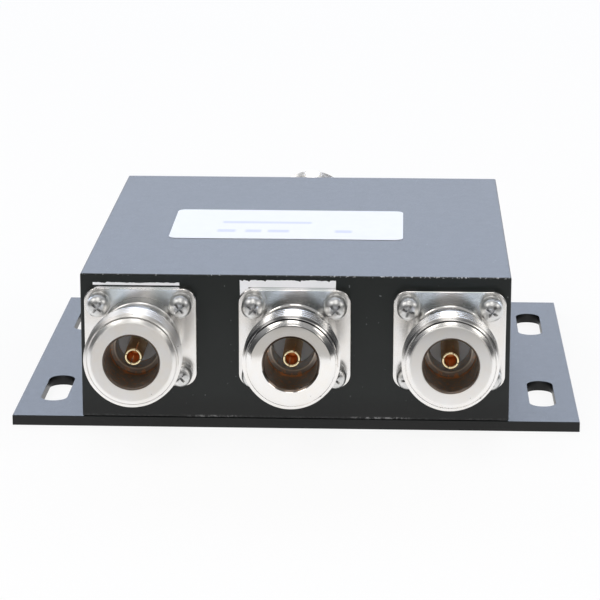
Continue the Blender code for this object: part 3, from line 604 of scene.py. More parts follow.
def resistor_ceramic():
    """Dark glaze between two tinned end caps."""
    material, graph, place = new_finish("resistor_ceramic")
    low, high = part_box("isolation_resistor_1")
    half = (high.x - low.x) / 2
    from_middle = graph.absolute(graph.absolute(graph.axes(place)[0]) - abs(low.x + half))
    cap = graph.step(from_middle, half - 0.9 * MM, half - 0.8 * MM)
    grain = graph.noise(place, 0.2 * MM, 3.0, 0.6)
    base = graph.mix(cap, graph.mix(grain, *GLAZE), graph.mix(grain, *TIN))
    rough = 0.3 + (grain - 0.5) * 0.2
    graph.surface(base_color=base, metallic=cap, roughness=rough, normal=graph.bump(grain, 0.01 * MM))
    return material


def at(x, y, z):
    return Matrix.Translation((x, y, z))


def finish_shape(shape, name):
    """Turn a bmesh into a mesh with clean normals."""
    bmesh.ops.remove_doubles(shape, verts=shape.verts, dist=WELD)
    bmesh.ops.dissolve_degenerate(shape, edges=shape.edges, dist=WELD)
    bmesh.ops.recalc_face_normals(shape, faces=shape.faces)
    mesh = bpy.data.meshes.new(name)
    shape.to_mesh(mesh)
    shape.free()
    return mesh


def softened(profile, reach, closed=True, steps=3):
    """Round the corners of a profile. A point may carry a reach of its own as a third value."""
    points = []
    count = len(profile)
    for index, (radius, z, *own) in enumerate(profile):
        corner = Vector((radius, z))
        on_end = not closed and index in (0, count - 1)
        if radius == 0 or on_end:
            points.append(corner)
            continue
        before = Vector(profile[index - 1][:2]) - corner
        after = Vector(profile[(index + 1) % count][:2]) - corner
        cut = min(own[0] if own else reach, before.length * 0.45, after.length * 0.45)
        if cut == 0:
            points.append(corner)
            continue
        start = corner + before.normalized() * cut
        end = corner + after.normalized() * cut
        for step in range(steps + 1):
            t = step / steps
            points.append(start * (1 - t) ** 2 + corner * 2 * t * (1 - t) + end * t * t)
    return [tuple(point) for point in points]


def ring(shape, radius, z, segments):
    turns = [2 * math.pi * step / segments for step in range(segments)]
    return [shape.verts.new((radius * math.cos(turn), radius * math.sin(turn), z)) for turn in turns]


def skin(shape, rows, follow, closed):
    """Join rows of vertices with faces. Past its last vertex a row goes on at the row that follow names."""
    count = len(rows)
    for upper in range(count if closed else count - 1):
        lower = (upper + 1) % count
        last = len(rows[upper]) - 1
        for step in range(last + 1):
            if step < last:
                corners = (rows[upper][step], rows[lower][step], rows[lower][step + 1], rows[upper][step + 1])
            else:
                corners = (rows[upper][last], rows[lower][last], rows[follow[lower]][0], rows[follow[upper]][0])
            corners = tuple(dict.fromkeys(corners))
            if len(corners) > 2:
                shape.faces.new(corners)


def turned_mesh(name, profile, segments=64, closed=False):
    """Turn a profile of (radius, z) points about the Z axis, its outer side running downwards."""
    shape = bmesh.new()
    rows = [ring(shape, radius, z, segments) for radius, z in profile]
    skin(shape, rows, range(len(rows)), closed)
    return finish_shape(shape, name)


def plug_mesh(name, radius, high_z, low_z, segments):
    """A plain cylinder about the Z axis."""
    return turned_mesh(name, [(0, high_z), (radius, high_z), (radius, low_z), (0, low_z)], segments)


def prism_mesh(name, lower, upper, low_z, high_z):
    """A prism between two outlines with as many points, the lower one at low_z."""
    shape = bmesh.new()
    bottom = [shape.verts.new((x, y, low_z)) for x, y in lower]
    top = [shape.verts.new((x, y, high_z)) for x, y in upper]
    count = len(bottom)
    for step in range(count):
        after = (step + 1) % count
        shape.faces.new((bottom[step], bottom[after], top[after], top[step]))
    shape.faces.new(top)
    shape.faces.new(bottom[::-1])
    return finish_shape(shape, name)


def box_mesh(name, low, high):
    shape = bmesh.new()
    size = Vector(high) - Vector(low)
    middle = Matrix.Translation((Vector(high) + Vector(low)) / 2)
    bmesh.ops.create_cube(shape, size=1, matrix=middle @ Matrix.Diagonal((*size, 1)))
    return finish_shape(shape, name)


def rounded_rectangle(width, depth, radius, steps=12):
    """Corner arcs of a rounded rectangle, anticlockwise from its right side."""
    points = []
    for quarter in range(4):
        turn = quarter * math.pi / 2
        side_x = math.copysign(width / 2 - radius, math.cos(turn + math.pi / 4))
        side_y = math.copysign(depth / 2 - radius, math.sin(turn + math.pi / 4))
        for step in range(steps + 1):
            angle = turn + step * math.pi / 2 / steps
            points.append((side_x + radius * math.cos(angle), side_y + radius * math.sin(angle)))
    return points


def slot_outline(width, length_y, steps=16):
    """A slot with round ends, long along Y."""
    points = []
    for end, first in ((1, 0), (-1, math.pi)):
        for step in range(steps + 1):
            angle = first + step * math.pi / steps
            centre_y = end * (length_y - width) / 2
            points.append((width / 2 * math.cos(angle), centre_y + width / 2 * math.sin(angle)))
    return points


def cross_outline(span, width):
    """The twelve corners of a cross recess."""
    tip = span / 2
    root = width / 2
    points = []
    for quarter in range(4):
        turn = Matrix.Rotation(quarter * math.pi / 2, 2)
        points.extend(tuple(turn @ Vector(corner)) for corner in ((root, root), (root, tip), (-root, tip)))
    return points


def stand_in(mesh):
    """An object that carries the mesh while modifiers work on it."""
    body = bpy.data.objects.new("body", mesh)
    bpy.context.scene.collection.objects.link(body)
    return body


def worked_mesh(body):
    """The mesh that the body's modifiers make. The body itself is removed."""
    bpy.context.view_layer.update()
    made = bpy.data.meshes.new_from_object(body.evaluated_get(bpy.context.evaluated_depsgraph_get()))
    made.name = body.data.name
    bpy.data.objects.remove(body)
    return made


def combined_mesh(mesh, steps):
    """Work the helpers of each (operation, [(mesh, matrix), ...]) step into the mesh, one step at a time."""
    body = stand_in(mesh)
    helpers = []
    groups = []
    for operation, others in steps:
        group = bpy.data.collections.new(operation.lower())
        bpy.context.scene.collection.children.link(group)
        groups.append(group)
        for other, matrix in others:
            helper = bpy.data.objects.new("helper", other)
            helper.matrix_world = matrix
            group.objects.link(helper)
            helpers.append(helper)
        boolean = body.modifiers.new(operation.lower(), "BOOLEAN")
        boolean.operation = operation
        boolean.solver = "EXACT"
        boolean.operand_type = "COLLECTION"
        boolean.collection = group
    made = worked_mesh(body)
    for helper in helpers:
        bpy.data.objects.remove(helper)
    for group in groups:
        bpy.data.collections.remove(group)
    return made


def carved_mesh(mesh, cuts):
    return combined_mesh(mesh, [("DIFFERENCE", cuts)])


def bevelled_mesh(mesh, width, segments):
    """Round every sharp edge of the mesh."""
    body = stand_in(mesh)
    bevel = body.modifiers.new("edges", "BEVEL")
    bevel.width = width
    bevel.segments = segments
    bevel.limit_method = "ANGLE"
    bevel.angle_limit = BEVEL_ANGLE
    return worked_mesh(body)


def add_piece(name, mesh, matrix, finish, slot, *nodes):
    """Show a mesh as a piece that stands for the given CAD nodes."""
    piece = bpy.data.objects.new(name, mesh)
    piece.matrix_world = matrix
    bpy.context.scene.collection.objects.link(piece)
    mesh.materials.clear()
    mesh.materials.append(finish)
    mesh.shade_smooth()
    mesh.set_sharp_from_angle(angle=SHARP_ANGLE)
    weighted = piece.modifiers.new("flat faces stay flat", "WEIGHTED_NORMAL")
    weighted.keep_sharp = True
    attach(piece, BODY)
    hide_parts(*nodes)
    return piece


def jack_matrix(jack):
    """The jack's own frame, found from its CAD body."""
    low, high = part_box(f"{jack}_body")
    middle = (low + high) / 2
    outwards = Matrix.Rotation(math.pi / 2, 4, "X")
    if middle.y < 0:
        return at(middle.x, low.y + LIP_Z, middle.z) @ outwards
    return at(middle.x, high.y - LIP_Z, middle.z) @ Matrix.Rotation(math.pi, 4, "Z") @ outwards


def flange_size():
    low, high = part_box("centre_jack_body")
    return high.x - low.x, high.z - low.z


def bolt_spots():
    """Where the screws stand on a flange, in the jack's own frame."""
    inverse = jack_matrix("centre_jack").inverted()
    spots = []
    for number in BOLTS:
        low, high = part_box(f"centre_jack_screw_{number}")
        spot = inverse @ ((low + high) / 2)
        spots.append((spot.x, spot.y))
    return spots


def thread_back(jack):
    """Where the threaded stretch ends, along the jack's axis."""
    return LIP_Z - jack.thread_start - jack.thread_length


def thread_rows(shape, jack, segments):
    """Rows that follow the thread's helix, cut off by a cone at each end, and where each row goes on."""
    front = LIP_Z - LEAD_IN
    back = thread_back(jack) - THREAD_RUNOUT
    relief = jack.thread_radius - LEAD_CUT + 0.22 * MM
    root = jack.thread_radius - jack.thread_depth
    lead_slope = (jack.thread_radius - relief) / (jack.thread_start - LEAD_IN)
    # Share of a pitch and radius: the crest's two edges, down a flank, the root's two edges and up a flank
    crest = jack.thread_radius
    middle = (crest + root) / 2
    turn_points = [(0, crest), (0.14, crest), (0.28, middle), (0.42, root), (0.7, root), (0.86, middle)]
    pitches = (front - back) / jack.thread_pitch
    rows = []
    follow = []
    total = int(math.ceil((pitches + 1) * len(turn_points))) + 1
    for number in range(total):
        whole, part = divmod(number, len(turn_points))
        phase, radius = turn_points[part]
        row = []
        for step in range(segments):
            along = whole + phase - step / segments
            z = min(max(front - along * jack.thread_pitch, back), front)
            lead = relief + (front - z) * lead_slope
            runout = jack.neck_radius + (z - back) * RUNOUT_SLOPE
            reach = min(radius, lead, runout)
            turn = 2 * math.pi * step / segments
            row.append(shape.verts.new((reach * math.cos(turn), reach * math.sin(turn), z)))
        rows.append(row)
        follow.append(max(number - len(turn_points), 0))
    return rows, follow


def jack_body_mesh(jack):
    """The turned and threaded barrel with its milled flange, in one piece."""
    segments = 128
    lip = LIP_Z
    boss_end = FLANGE_FACE_Z + jack.boss_length
    step_z = lip - jack.bore_depth
    mouth = jack.bore_radius + MOUTH_CHAMFER
    cut = jack.thread_radius - LEAD_CUT
    shape = bmesh.new()
    front = softened(
        [
            (mouth, lip, 0.1 * MM),
            (jack.face_radius, lip - jack.face_crown, 0.12 * MM),
            (cut, lip - 0.66 * MM, 0.05 * MM),
            (cut, lip - 1.05 * MM, 0),
            (cut + 0.2 * MM, lip - 1.05 * MM, 0),
            (cut + 0.22 * MM, lip - LEAD_IN, 0),
        ],
        0.1 * MM,
        closed=False,
    )
    front_rows = [ring(shape, radius, z, segments) for radius, z in front]
    helix_rows, helix_follow = thread_rows(shape, jack, segments)
    rear = softened(
        [
            (jack.neck_radius, thread_back(jack) - THREAD_RUNOUT, 0),
            (jack.neck_radius, boss_end + 0.25 * MM, 0.08 * MM),
            (jack.boss_radius, boss_end, 0.08 * MM),
            (jack.boss_radius, FLANGE_FACE_Z / 2, 0),
            (SPIGOT_RADIUS, FLANGE_FACE_Z / 2, 0),
            (SPIGOT_RADIUS, SPIGOT_END_Z),
            (STUB_RADIUS, SPIGOT_END_Z),
            (STUB_RADIUS, BEAD_SEAT_Z),
            (jack.inner_radius, BEAD_SEAT_Z),
            (jack.inner_radius, step_z, 0.12 * MM),
            (jack.bore_radius, step_z, 0.1 * MM),
            (jack.bore_radius, lip - MOUTH_CHAMFER, 0.06 * MM),
            (mouth, lip - 0.02 * MM, 0),
        ],
        0.1 * MM,
        closed=False,
    )
    rear_rows = [ring(shape, radius, z, segments) for radius, z in rear]
    rows = front_rows + helix_rows + rear_rows
    first_helix = len(front_rows)
    follow = list(range(len(rows)))
    for number, goes_on in enumerate(helix_follow):
        follow[first_helix + number] = first_helix + goes_on
    skin(shape, rows, follow, closed=True)
    barrel = finish_shape(shape, "jack_body")

    width, height = flange_size()
    outline = rounded_rectangle(width, height, jack.flange_corner)
    slab = prism_mesh("flange", outline, outline, HOUSING_FACE_Z + LABEL_ROOM, FLANGE_FACE_Z)
    slab = bevelled_mesh(slab, jack.flange_edge, 3)
    front_z, back_z = 3 * MM, -2 * MM
    eye = plug_mesh("eye", (SPIGOT_RADIUS + jack.inner_radius) / 2, front_z, back_z, 64)
    hole = plug_mesh("hole", TAP_RADIUS, front_z, back_z, 32)
    cuts = [(eye, HERE)] + [(hole, at(x, y, 0)) for x, y in bolt_spots()]
    return combined_mesh(slab, [("DIFFERENCE", cuts), ("UNION", [(barrel, HERE)])])


def insulator_mesh(jack):
    """The bead in the jack's bore, with its stub through the housing's wall."""
    bead = jack.inner_radius - TOUCH
    pin_hole = PIN_RADIUS + TOUCH
    stub = STUB_RADIUS - TOUCH
    seat = BEAD_SEAT_Z + TOUCH
    stub_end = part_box("centre_jack_insulator")[1].y - jack_matrix("centre_jack").translation.y
    profile = [
        (pin_hole, BEAD_FACE_Z),
        (bead, BEAD_FACE_Z, 0.15 * MM),
        (bead, seat),
        (stub, seat),
        (stub, -stub_end),
        (pin_hole, -stub_end),
    ]
    return turned_mesh("insulator", softened(profile, 0.08 * MM), 96, closed=True)


def contact_mesh(jack):
    """The slotted socket contact with its solder tail."""
    tip = LIP_Z - jack.contact_setback
    origin = jack_matrix("centre_jack").translation.y
    wall_inside = -(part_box("centre_jack_insulator")[1].y - origin)
    tail_end = -(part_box("centre_jack_contact")[1].y - origin)
    tail_radius = 0.635 * MM
    profile = [
        (0, tip - 5.5 * MM),
        (jack.socket_radius, tip - 5.0 * MM, 0.2 * MM),
        (jack.socket_radius, tip - 0.12 * MM, 0.05 * MM),
        (jack.socket_radius + 0.1 * MM, tip, 0.05 * MM),
        (jack.contact_radius - 0.12 * MM, tip, 0.1 * MM),
        (jack.contact_radius, tip - 0.25 * MM, 0.1 * MM),
        (jack.contact_radius, BEAD_FACE_Z + TOUCH, 0.05 * MM),
        (PIN_RADIUS, BEAD_FACE_Z + TOUCH),
        (PIN_RADIUS, wall_inside),
        (tail_radius, wall_inside),
        (tail_radius, tail_end, 0.2 * MM),
        (0, tail_end),
    ]
    pin = turned_mesh("contact", softened(profile, 0.06 * MM, closed=False), 64)
    slot_width, slot_length, slot_turn = 0.13 * MM, 4.2 * MM, math.radians(-20)
    outline = cross_outline(2 * (jack.contact_radius + OVERSHOOT), slot_width)
    cross = prism_mesh("slots", outline, outline, tip - slot_length, tip + OVERSHOOT)
    return carved_mesh(pin, [(cross, Matrix.Rotation(slot_turn, 4, "Z"))])


def recess_cutter(screws, top):
    """A cross that narrows towards its floor."""
    slope_out = OVERSHOOT / screws.recess_depth
    floor_span, floor_width = screws.recess_span * 0.45, screws.recess_width * 0.72
    top_span = screws.recess_span + (screws.recess_span - floor_span) * slope_out
    top_width = screws.recess_width + (screws.recess_width - floor_width) * slope_out
    lower = cross_outline(floor_span, floor_width)
    upper = cross_outline(top_span, top_width)
    return prism_mesh("recess", lower, upper, top - screws.recess_depth, top + OVERSHOOT)


def lock_washer(shape, inner, outer, low_z, thickness):
    """A split ring whose ends stand apart and slightly askew."""
    steps = 40
    gap = math.radians(14)
    rise = 0.07 * MM
    corners = ((inner, low_z), (outer, low_z), (outer, low_z + thickness), (inner, low_z + thickness))
    sections = []
    for step in range(steps + 1):
        turn = gap / 2 + (2 * math.pi - gap) * step / steps
        lift = rise * (step / steps)
        sections.append(
            [shape.verts.new((radius * math.cos(turn), radius * math.sin(turn), z + lift)) for radius, z in corners]
        )
    for first, second in zip(sections, sections[1:]):
        for corner in range(4):
            after = (corner + 1) % 4
            shape.faces.new((first[corner], second[corner], second[after], first[after]))
    shape.faces.new(sections[0])
    shape.faces.new(sections[-1][::-1])


def flange_screw_mesh(screws):
    """A pan head screw with a spring washer and a flat washer, standing on Z = 0."""
    hole = SHANK_RADIUS + 0.12 * MM
    seat = screws.flat_washer + screws.lock_washer + 0.1 * MM
    low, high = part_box("centre_jack_screw_1")
    origin = jack_matrix("centre_jack").translation.y
    top = origin - low.y - FLANGE_FACE_Z
    bottom = origin - high.y - FLANGE_FACE_Z
    head = screws.head_radius
    profile = [
        (0, top),
        (head * 0.45, top - 0.03 * MM, 0.3 * MM),
        (head * 0.78, top - 0.28 * MM, 0.3 * MM),
        (head * 0.985, top - 0.95 * MM, 0.35 * MM),
        (head, seat + 0.25 * MM, 0.1 * MM),
        (head - 0.08 * MM, seat, 0.03 * MM),
        (SHANK_RADIUS, seat, 0.02 * MM),
        (SHANK_RADIUS, bottom, 0.2 * MM),
        (0, bottom),
    ]
    screw = turned_mesh("flange_screw", softened(profile, 0.1 * MM, closed=False, steps=4), 48)
    screw = carved_mesh(screw, [(recess_cutter(screws, top), HERE)])
    profile = [
        (hole, screws.flat_washer),
        (screws.washer_radius, screws.flat_washer, 0.12 * MM),
        (screws.washer_radius, TOUCH, 0.06 * MM),
        (hole, TOUCH),
    ]
    washer = turned_mesh("washer", softened(profile, 0.05 * MM), closed=True)
    shape = bmesh.new()
    shape.from_mesh(screw)
    shape.from_mesh(washer)
    lock_washer(shape, hole, head, screws.flat_washer + TOUCH, screws.lock_washer)
    return finish_shape(shape, "flange_screw")


def cover_screw_mesh(screws):
    """A countersunk screw, its face at Z = 0 and its thread pointing down."""
    low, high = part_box("cover_screw_1")
    screw_length = high.z - low.z
    head = (high.x - low.x) / 2
    profile = [
        (0, 0),
        (head, 0, 0.05 * MM),
        (SHANK_RADIUS, SHANK_RADIUS - head),
        (SHANK_RADIUS, -screw_length, 0.2 * MM),
        (0, -screw_length),
    ]
    screw = turned_mesh("cover_screw", softened(profile, 0.05 * MM, closed=False), 48)
    return carved_mesh(screw, [(recess_cutter(screws, 0), HERE)])


def housing_mesh(box):
    """The hollow block: outer edges rounded, open below, with its bosses and the ports for the jacks."""
    bottom = PLATE_HIGH.z + box.seam
    block = box_mesh("housing", (HOUSING_LOW.x, HOUSING_LOW.y, bottom), HOUSING_HIGH)
    block = bevelled_mesh(block, box.edge_radius, 3)
    roof = HOUSING_HIGH.z - ROOF
    cavity_low = (BOARD_LOW.x - CAVITY_GAP, BOARD_LOW.y - CAVITY_GAP, bottom - OVERSHOOT)
    cavity_high = (BOARD_HIGH.x + CAVITY_GAP, BOARD_HIGH.y + CAVITY_GAP, roof)
    cavity = box_mesh("cavity", cavity_low, cavity_high)
    boss = plug_mesh("boss", 3 * MM, roof + ROOF / 2, BOARD_HIGH.z + CLEARANCE, 48)
    bosses = []
    taps = []
    for number in BOLTS:
        low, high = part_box(f"board_screw_{number}")
        middle = (low + high) / 2
        bosses.append((boss, at(middle.x, middle.y, 0)))
        tap = plug_mesh("tap", TAP_RADIUS, high.z + CLEARANCE, low.z, 24)
        taps.append((tap, at(middle.x, middle.y, 0)))
    wall = BOARD_LOW.y - CAVITY_GAP - HOUSING_LOW.y
    port_radius, port_step = SPIGOT_RADIUS + CLEARANCE, SPIGOT_END_Z - CLEARANCE
    port_end = HOUSING_FACE_Z - wall - OVERSHOOT
    profile = [
        (0, OVERSHOOT),
        (port_radius, OVERSHOOT),
        (port_radius, port_step),
        (STUB_RADIUS, port_step),
        (STUB_RADIUS, port_end),
        (0, port_end),
    ]
    port = turned_mesh("port", profile, 48)
    screw_tap = plug_mesh("screw_tap", TAP_RADIUS, OVERSHOOT, -3.8 * MM, 24)
    for jack in JACKS:
        taps.append((port, jack_matrix(jack)))
        taps.extend((screw_tap, jack_matrix(jack) @ at(x, y, 0)) for x, y in bolt_spots())
    for number in range(1, 7):
        low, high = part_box(f"cover_screw_{number}")
        middle = (low + high) / 2
        tap = plug_mesh("tap", TAP_RADIUS, high.z + CLEARANCE, 0, 24)
        taps.append((tap, at(middle.x, middle.y, 0)))
    return combined_mesh(block, [("DIFFERENCE", [(cavity, HERE)]), ("UNION", bosses), ("DIFFERENCE", taps)])


def base_plate_mesh(box):
    """The slotted plate with a countersink for each cover screw."""
    plate = box_mesh("base_plate", PLATE_LOW, PLATE_HIGH)
    outline = slot_outline(box.slot_width, box.slot_length)
    slot = prism_mesh("slot", outline, outline, PLATE_LOW.z - OVERSHOOT, PLATE_HIGH.z + OVERSHOOT)
    ear_x = (HOUSING_HIGH.x + PLATE_HIGH.x) / 2 + box.slot_shift
    slot_y = PLATE_HIGH.y - box.slot_setback - box.slot_length / 2
    cuts = [(slot, at(x, y, 0)) for x in (-ear_x, ear_x) for y in (-slot_y, slot_y)]
    shank_hole = 1.1 * MM
    for number in range(1, 7):
        low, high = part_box(f"cover_screw_{number}")
        middle = (low + high) / 2
        head = (high.x - low.x) / 2 + 0.1 * MM + TOUCH
        profile = [
            (0, PLATE_HIGH.z + OVERSHOOT),
            (shank_hole, PLATE_HIGH.z + OVERSHOOT),
            (shank_hole, head - shank_hole),
            (head, 0),
            (head, -OVERSHOOT),
            (0, -OVERSHOOT),
        ]
        cuts.append((turned_mesh("countersink", profile, 48), at(middle.x, middle.y, 0)))
    return bevelled_mesh(carved_mesh(plate, cuts), box.plate_edge, 2)


def top_label_mesh(labels):
    """A plain sheet with round corners."""
    low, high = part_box("top_label")
    size = high - low
    outline = rounded_rectangle(size.x, size.y, labels.corner, 10)
    sheet = prism_mesh("top_label", outline, outline, 0, labels.thickness)
    return bevelled_mesh(sheet, labels.thickness * 0.3, 1)


def port_label_mesh(name, labels, width, height, leg, draw):
    """A strip of paper, its upper edge torn in small bites, with a leg going down at its left end."""
    steps = 72
    leg_width = 1.4 * MM
    upper = []
    bite = 0.0
    for step in range(steps + 1):
        bite = 0.55 * bite + draw.uniform(0, labels.ragged * 0.5)
        if draw.random() < 0.04:
            bite += labels.ragged * 1.3
        x = width / 2 - width * step / steps + draw.uniform(-0.2, 0.2) * width / steps
        upper.append((x, height - min(bite, height * 0.5)))
    left = -width / 2
    outline = [(left, -leg), (left + leg_width, -leg), (left + leg_width, 0), (width / 2, 0), *upper]
    return prism_mesh(name, outline, outline, 0, labels.thickness)


class SPLITTER_OT_housing(Operator):
    """Build the hollow painted block"""

    bl_idname = "splitter.housing"
    bl_label = "Housing"

    def execute(self, context):
        box = context.scene.splitter_box
        finish = black_paint("black_paint_housing", box, chipped=True)
        add_piece("housing_block", housing_mesh(box), HERE, finish, "black_finish", "housing")
        return {"FINISHED"}


class SPLITTER_OT_base_plate(Operator):
    """Build the slotted plate that closes the housing"""

    bl_idname = "splitter.base_plate"
    bl_label = "Base plate"

    def execute(self, context):
        box = context.scene.splitter_box
        finish = black_paint("black_paint_plate", box, chipped=False)
        mesh = base_plate_mesh(box)
        add_piece("slotted_base_plate", mesh, HERE, finish, "black_finish", "base_plate")
        return {"FINISHED"}


class SPLITTER_OT_jack_bodies(Operator):
    """Build the four threaded jack bodies with their flanges"""

    bl_idname = "splitter.jack_bodies"
    bl_label = "Jack bodies"

    def execute(self, context):
        settings = context.scene.splitter_jack
        mesh = jack_body_mesh(settings)
        for number, jack in enumerate(JACKS):
            shares = (settings.barrel_roughness[number], settings.ring_roughness[number], settings.groove_shade[number])
            finish = nickel_plate(f"bright_nickel_{jack}", settings, *shares)
            piece = f"{jack}_threaded_body"
            add_piece(piece, mesh.copy(), jack_matrix(jack), finish, "bright_nickel", f"{jack}_body")
        return {"FINISHED"}


class SPLITTER_OT_insulators(Operator):
    """Build the insulator bead of each jack"""

    bl_idname = "splitter.insulators"
    bl_label = "Insulators"

    def execute(self, context):
        settings = context.scene.splitter_jack
        finish = insulator_resin(settings)
        mesh = insulator_mesh(settings)
        for jack in JACKS:
            add_piece(f"{jack}_bead", mesh, jack_matrix(jack), finish, "insulator_resin", f"{jack}_insulator")
        return {"FINISHED"}


class SPLITTER_OT_contacts(Operator):
    """Build the slotted gold contact of each jack"""

    bl_idname = "splitter.contacts"
    bl_label = "Centre contacts"

    def execute(self, context):
        settings = context.scene.splitter_jack
        finish = gold_plate(settings)
        mesh = contact_mesh(settings)
        for jack in JACKS:
            add_piece(f"{jack}_slotted_contact", mesh, jack_matrix(jack), finish, "gold_plate", f"{jack}_contact")
        return {"FINISHED"}


class SPLITTER_OT_flange_screws(Operator):
    """Build the sixteen flange screws, each turned its own way"""

    bl_idname = "splitter.flange_screws"
    bl_label = "Flange screws"

    def execute(self, context):
        screws = context.scene.splitter_screws
        mesh = flange_screw_mesh(screws)
        top = max(vertex.co.z for vertex in mesh.vertices)
        finish = screw_metal("screw_steel", screws, top - 0.22 * MM)
        draw = random.Random(screws.seed)
        for jack in JACKS:
            for number, (x, y) in zip(BOLTS, bolt_spots()):
                turned = Matrix.Rotation(draw.uniform(0, math.pi / 2), 4, "Z")
                matrix = jack_matrix(jack) @ at(x, y, FLANGE_FACE_Z) @ turned
                node = f"{jack}_screw_{number}"
                add_piece(f"{node}_with_washers", mesh, matrix, finish, "screw_steel", node)
        return {"FINISHED"}


class SPLITTER_OT_cover_screws(Operator):
    """Build the six countersunk screws under the base plate"""

    bl_idname = "splitter.cover_screws"
    bl_label = "Cover screws"

    def execute(self, context):
        screws = context.scene.splitter_screws
        finish = screw_metal("cover_screw_steel", screws, -0.1 * MM)
        mesh = cover_screw_mesh(screws)
        draw = random.Random(screws.seed + 1)
        upside_down = Matrix.Rotation(math.pi, 4, "X")
        for number in range(1, 7):
            low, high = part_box(f"cover_screw_{number}")
            turned = Matrix.Rotation(draw.uniform(0, math.pi / 2), 4, "Z")
            matrix = at((low.x + high.x) / 2, (low.y + high.y) / 2, low.z) @ upside_down @ turned
            node = f"cover_screw_{number}"
            add_piece(f"{node}_countersunk", mesh, matrix, finish, "screw_steel", node)
        return {"FINISHED"}


class SPLITTER_OT_inner_pieces(Operator):
    """Give the board, its resistors and its screws their finishes"""

    bl_idname = "splitter.inner_pieces"
    bl_label = "Inner pieces"

    def execute(self, context):
        finishes = {"circuit_board": (board_laminate(), "board_laminate")}
        ceramic = resistor_ceramic()
        steel = bpy.data.materials["screw_steel"]
        for number in BOLTS:
            finishes[f"isolation_resistor_{number}"] = (ceramic, "resistor_ceramic")
            finishes[f"board_screw_{number}"] = (steel, "screw_steel")
        for node, (finish, slot) in finishes.items():
            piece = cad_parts[node]
            piece.data.materials.clear()
            piece.data.materials.append(finish)
        return {"FINISHED"}


class SPLITTER_OT_labels(Operator):
    """Build the top label and the two port labels"""

    bl_idname = "splitter.labels"
    bl_label = "Labels"

    def execute(self, context):
        labels = context.scene.splitter_labels
        low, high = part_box("top_label")
        middle = (low + high) / 2
        top_finish = label_paper("label_paper_top", labels, LABEL_BARS)
        matrix = at(middle.x, middle.y, HOUSING_HIGH.z + TOUCH)
        add_piece("top_paper_label", top_label_mesh(labels), matrix, top_finish, "label_paper", "top_label")
        port_finish = label_paper("label_paper_port", labels)
        draw = random.Random(labels.seed)
        outwards = Matrix.Rotation(math.pi / 2, 4, "X")
        spots = (("centre_port_label", labels.leg, 0.0), ("left_port_label", 0.02 * MM, labels.above_flange))
        for node, leg, gap in spots:
            low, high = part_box(node)
            bottom = low.z - 0.3 * MM + gap
            mesh = port_label_mesh(node, labels, high.x - low.x, high.z - bottom, leg, draw)
            matrix = at((low.x + high.x) / 2, HOUSING_LOW.y - TOUCH, bottom) @ outwards
            add_piece(f"{node}_strip", mesh, matrix, port_finish, "label_paper", node)
        return {"FINISHED"}


def add_softbox(name, place, target, size, radiance, tint):
    """An even area lamp that faces the target and gives the stated radiance."""
    width, height = size
    lamp = bpy.data.lights.new(name, "AREA")
    lamp.shape = "RECTANGLE"
    lamp.size = width
    lamp.size_y = height
    lamp.color = tint
    lamp.energy = radiance * math.pi * width * height
    obj = bpy.data.objects.new(name, lamp)
    obj.location = place
    obj.rotation_mode = "QUATERNION"
    obj.rotation_quaternion = (Vector(target) - Vector(place)).to_track_quat("-Z", "Y")
    obj.visible_camera = False
    bpy.context.scene.collection.objects.link(obj)
    return obj


def floor_finish(studio):
    """Matt white, and lit up where the camera, metal or glass looks at it, with the shadow kept faint."""
    material = bpy.data.materials.new("pale_floor")
    graph = Graph(material)
    ray = graph.node("ShaderNodeLightPath", output="Is Camera Ray")
    mirrored = graph.larger(ray.output("Is Glossy Ray"), ray.output("Is Transmission Ray"))
    matt = graph.node("ShaderNodeBsdfDiffuse", None, {"Color": studio.floor})
    white = graph.node("ShaderNodeEmission", None, {"Color": (1, 1, 1), "Strength": 1.0})
    both = graph.node("ShaderNodeMixShader", None, {0: ray * 0.88 + mirrored * 0.75, 1: matt, 2: white})
    graph.node("ShaderNodeOutputMaterial", None, {"Surface": both})
    return material


def studio_world(studio):
    """White behind the object and for the camera, a dark room beside and in front of it, grey above and below."""
    world = bpy.data.worlds.new("studio_world")
    graph = Graph(world)
    direction = graph.node("ShaderNodeTexCoord", output="Generated")
    _, y, z = graph.axes(direction)
    behind = graph.step(y - z * 0.6, 0.1, 0.5) * (0.62 + graph.step(z, 0.1, 0.28) * 0.38)
    above = graph.step(z, 0.15, 0.75)
    below = graph.below(z, -0.08, -0.02)
    ray = graph.node("ShaderNodeLightPath", output="Is Camera Ray")
    white = graph.larger(ray, behind)
    room = graph.mix(below, graph.mix(above, studio.room, studio.ceiling), studio.ground)
    tint = graph.mix(white, room, studio.backdrop)
    shader = graph.node("ShaderNodeBackground", None, {"Color": tint, "Strength": 1.0})
    graph.node("ShaderNodeOutputWorld", None, {"Surface": shader})
    return world


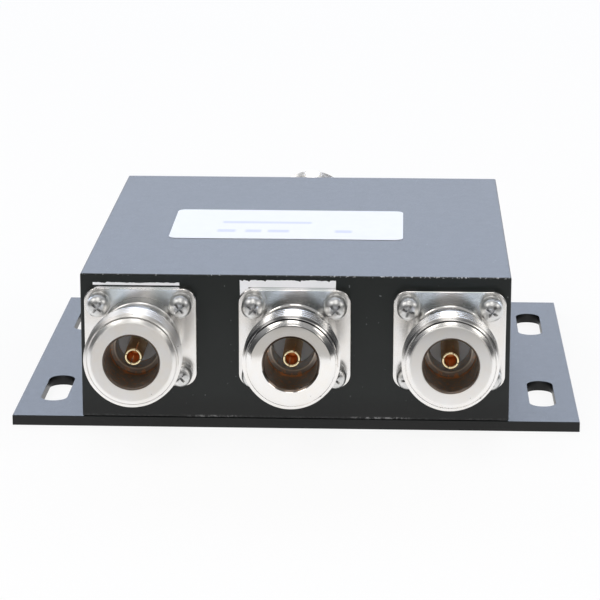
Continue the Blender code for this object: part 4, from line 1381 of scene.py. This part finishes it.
class SPLITTER_OT_studio(Operator):
    """Set up the floor, lamps, surroundings and camera"""

    bl_idname = "splitter.studio"
    bl_label = "Studio"

    def execute(self, context):
        scene = context.scene
        studio = scene.splitter_studio
        shape = bmesh.new()
        bmesh.ops.create_grid(shape, x_segments=8, y_segments=8, size=studio.floor_size / 2)
        for vertex in shape.verts:
            vertex.co.y = max(vertex.co.y, studio.floor_front) if vertex.co.y < 0 else vertex.co.y
        floor = bpy.data.objects.new("studio_floor", finish_shape(shape, "studio_floor"))
        floor.location.z = PLATE_LOW.z - 0.02 * MM
        floor.data.materials.append(floor_finish(studio))
        scene.collection.objects.link(floor)
        scene.world = studio_world(studio)
        for name, place, target, size, radiance in LAMPS:
            tint = studio.rear_lamp if name == "rear_softbox" else studio.lamp
            lamp = add_softbox(name, place, target, size, radiance, tint)
            lamp.visible_glossy = name != "front_fill"
        camera = bpy.data.objects.new("camera", bpy.data.cameras.new("camera"))
        camera.location = studio.camera_place
        camera.rotation_euler = studio.camera_turn
        camera.data.lens = studio.lens
        camera.data.clip_start = 0.01
        scene.collection.objects.link(camera)
        scene.camera = camera
        scene.view_settings.view_transform = "Standard"
        return {"FINISHED"}


class SPLITTER_PT_sidebar(Panel):
    """The splitter's operators, in the order in which they run"""

    bl_idname = "SPLITTER_PT_sidebar"
    bl_label = "Power splitter"
    bl_space_type = "VIEW_3D"
    bl_region_type = "UI"
    bl_category = "Splitter"

    def draw(self, context):
        for operator in OPERATORS:
            self.layout.operator(operator.bl_idname)
        for name in SETTINGS:
            settings = getattr(context.scene, name)
            for key in settings.__annotations__:
                self.layout.prop(settings, key)


SETTINGS = {
    "splitter_box": SplitterBox,
    "splitter_jack": SplitterJack,
    "splitter_screws": SplitterScrews,
    "splitter_labels": SplitterLabels,
    "splitter_studio": SplitterStudio,
}
OPERATORS = (
    SPLITTER_OT_housing,
    SPLITTER_OT_base_plate,
    SPLITTER_OT_jack_bodies,
    SPLITTER_OT_insulators,
    SPLITTER_OT_contacts,
    SPLITTER_OT_flange_screws,
    SPLITTER_OT_cover_screws,
    SPLITTER_OT_inner_pieces,
    SPLITTER_OT_labels,
    SPLITTER_OT_studio,
)


def register():
    for name, group in SETTINGS.items():
        bpy.utils.register_class(group)
        setattr(bpy.types.Scene, name, PointerProperty(type=group))
    for item in (*OPERATORS, SPLITTER_PT_sidebar):
        bpy.utils.register_class(item)


def unregister():
    for item in (SPLITTER_PT_sidebar, *reversed(OPERATORS)):
        bpy.utils.unregister_class(item)
    for name, group in SETTINGS.items():
        delattr(bpy.types.Scene, name)
        bpy.utils.unregister_class(group)


def main():
    register()
    bpy.ops.splitter.housing()
    bpy.ops.splitter.base_plate()
    bpy.ops.splitter.jack_bodies()
    bpy.ops.splitter.insulators()
    bpy.ops.splitter.contacts()
    bpy.ops.splitter.flange_screws()
    bpy.ops.splitter.cover_screws()
    bpy.ops.splitter.inner_pieces()
    bpy.ops.splitter.labels()
    bpy.ops.splitter.studio()


if __name__ == "__main__":
    main()
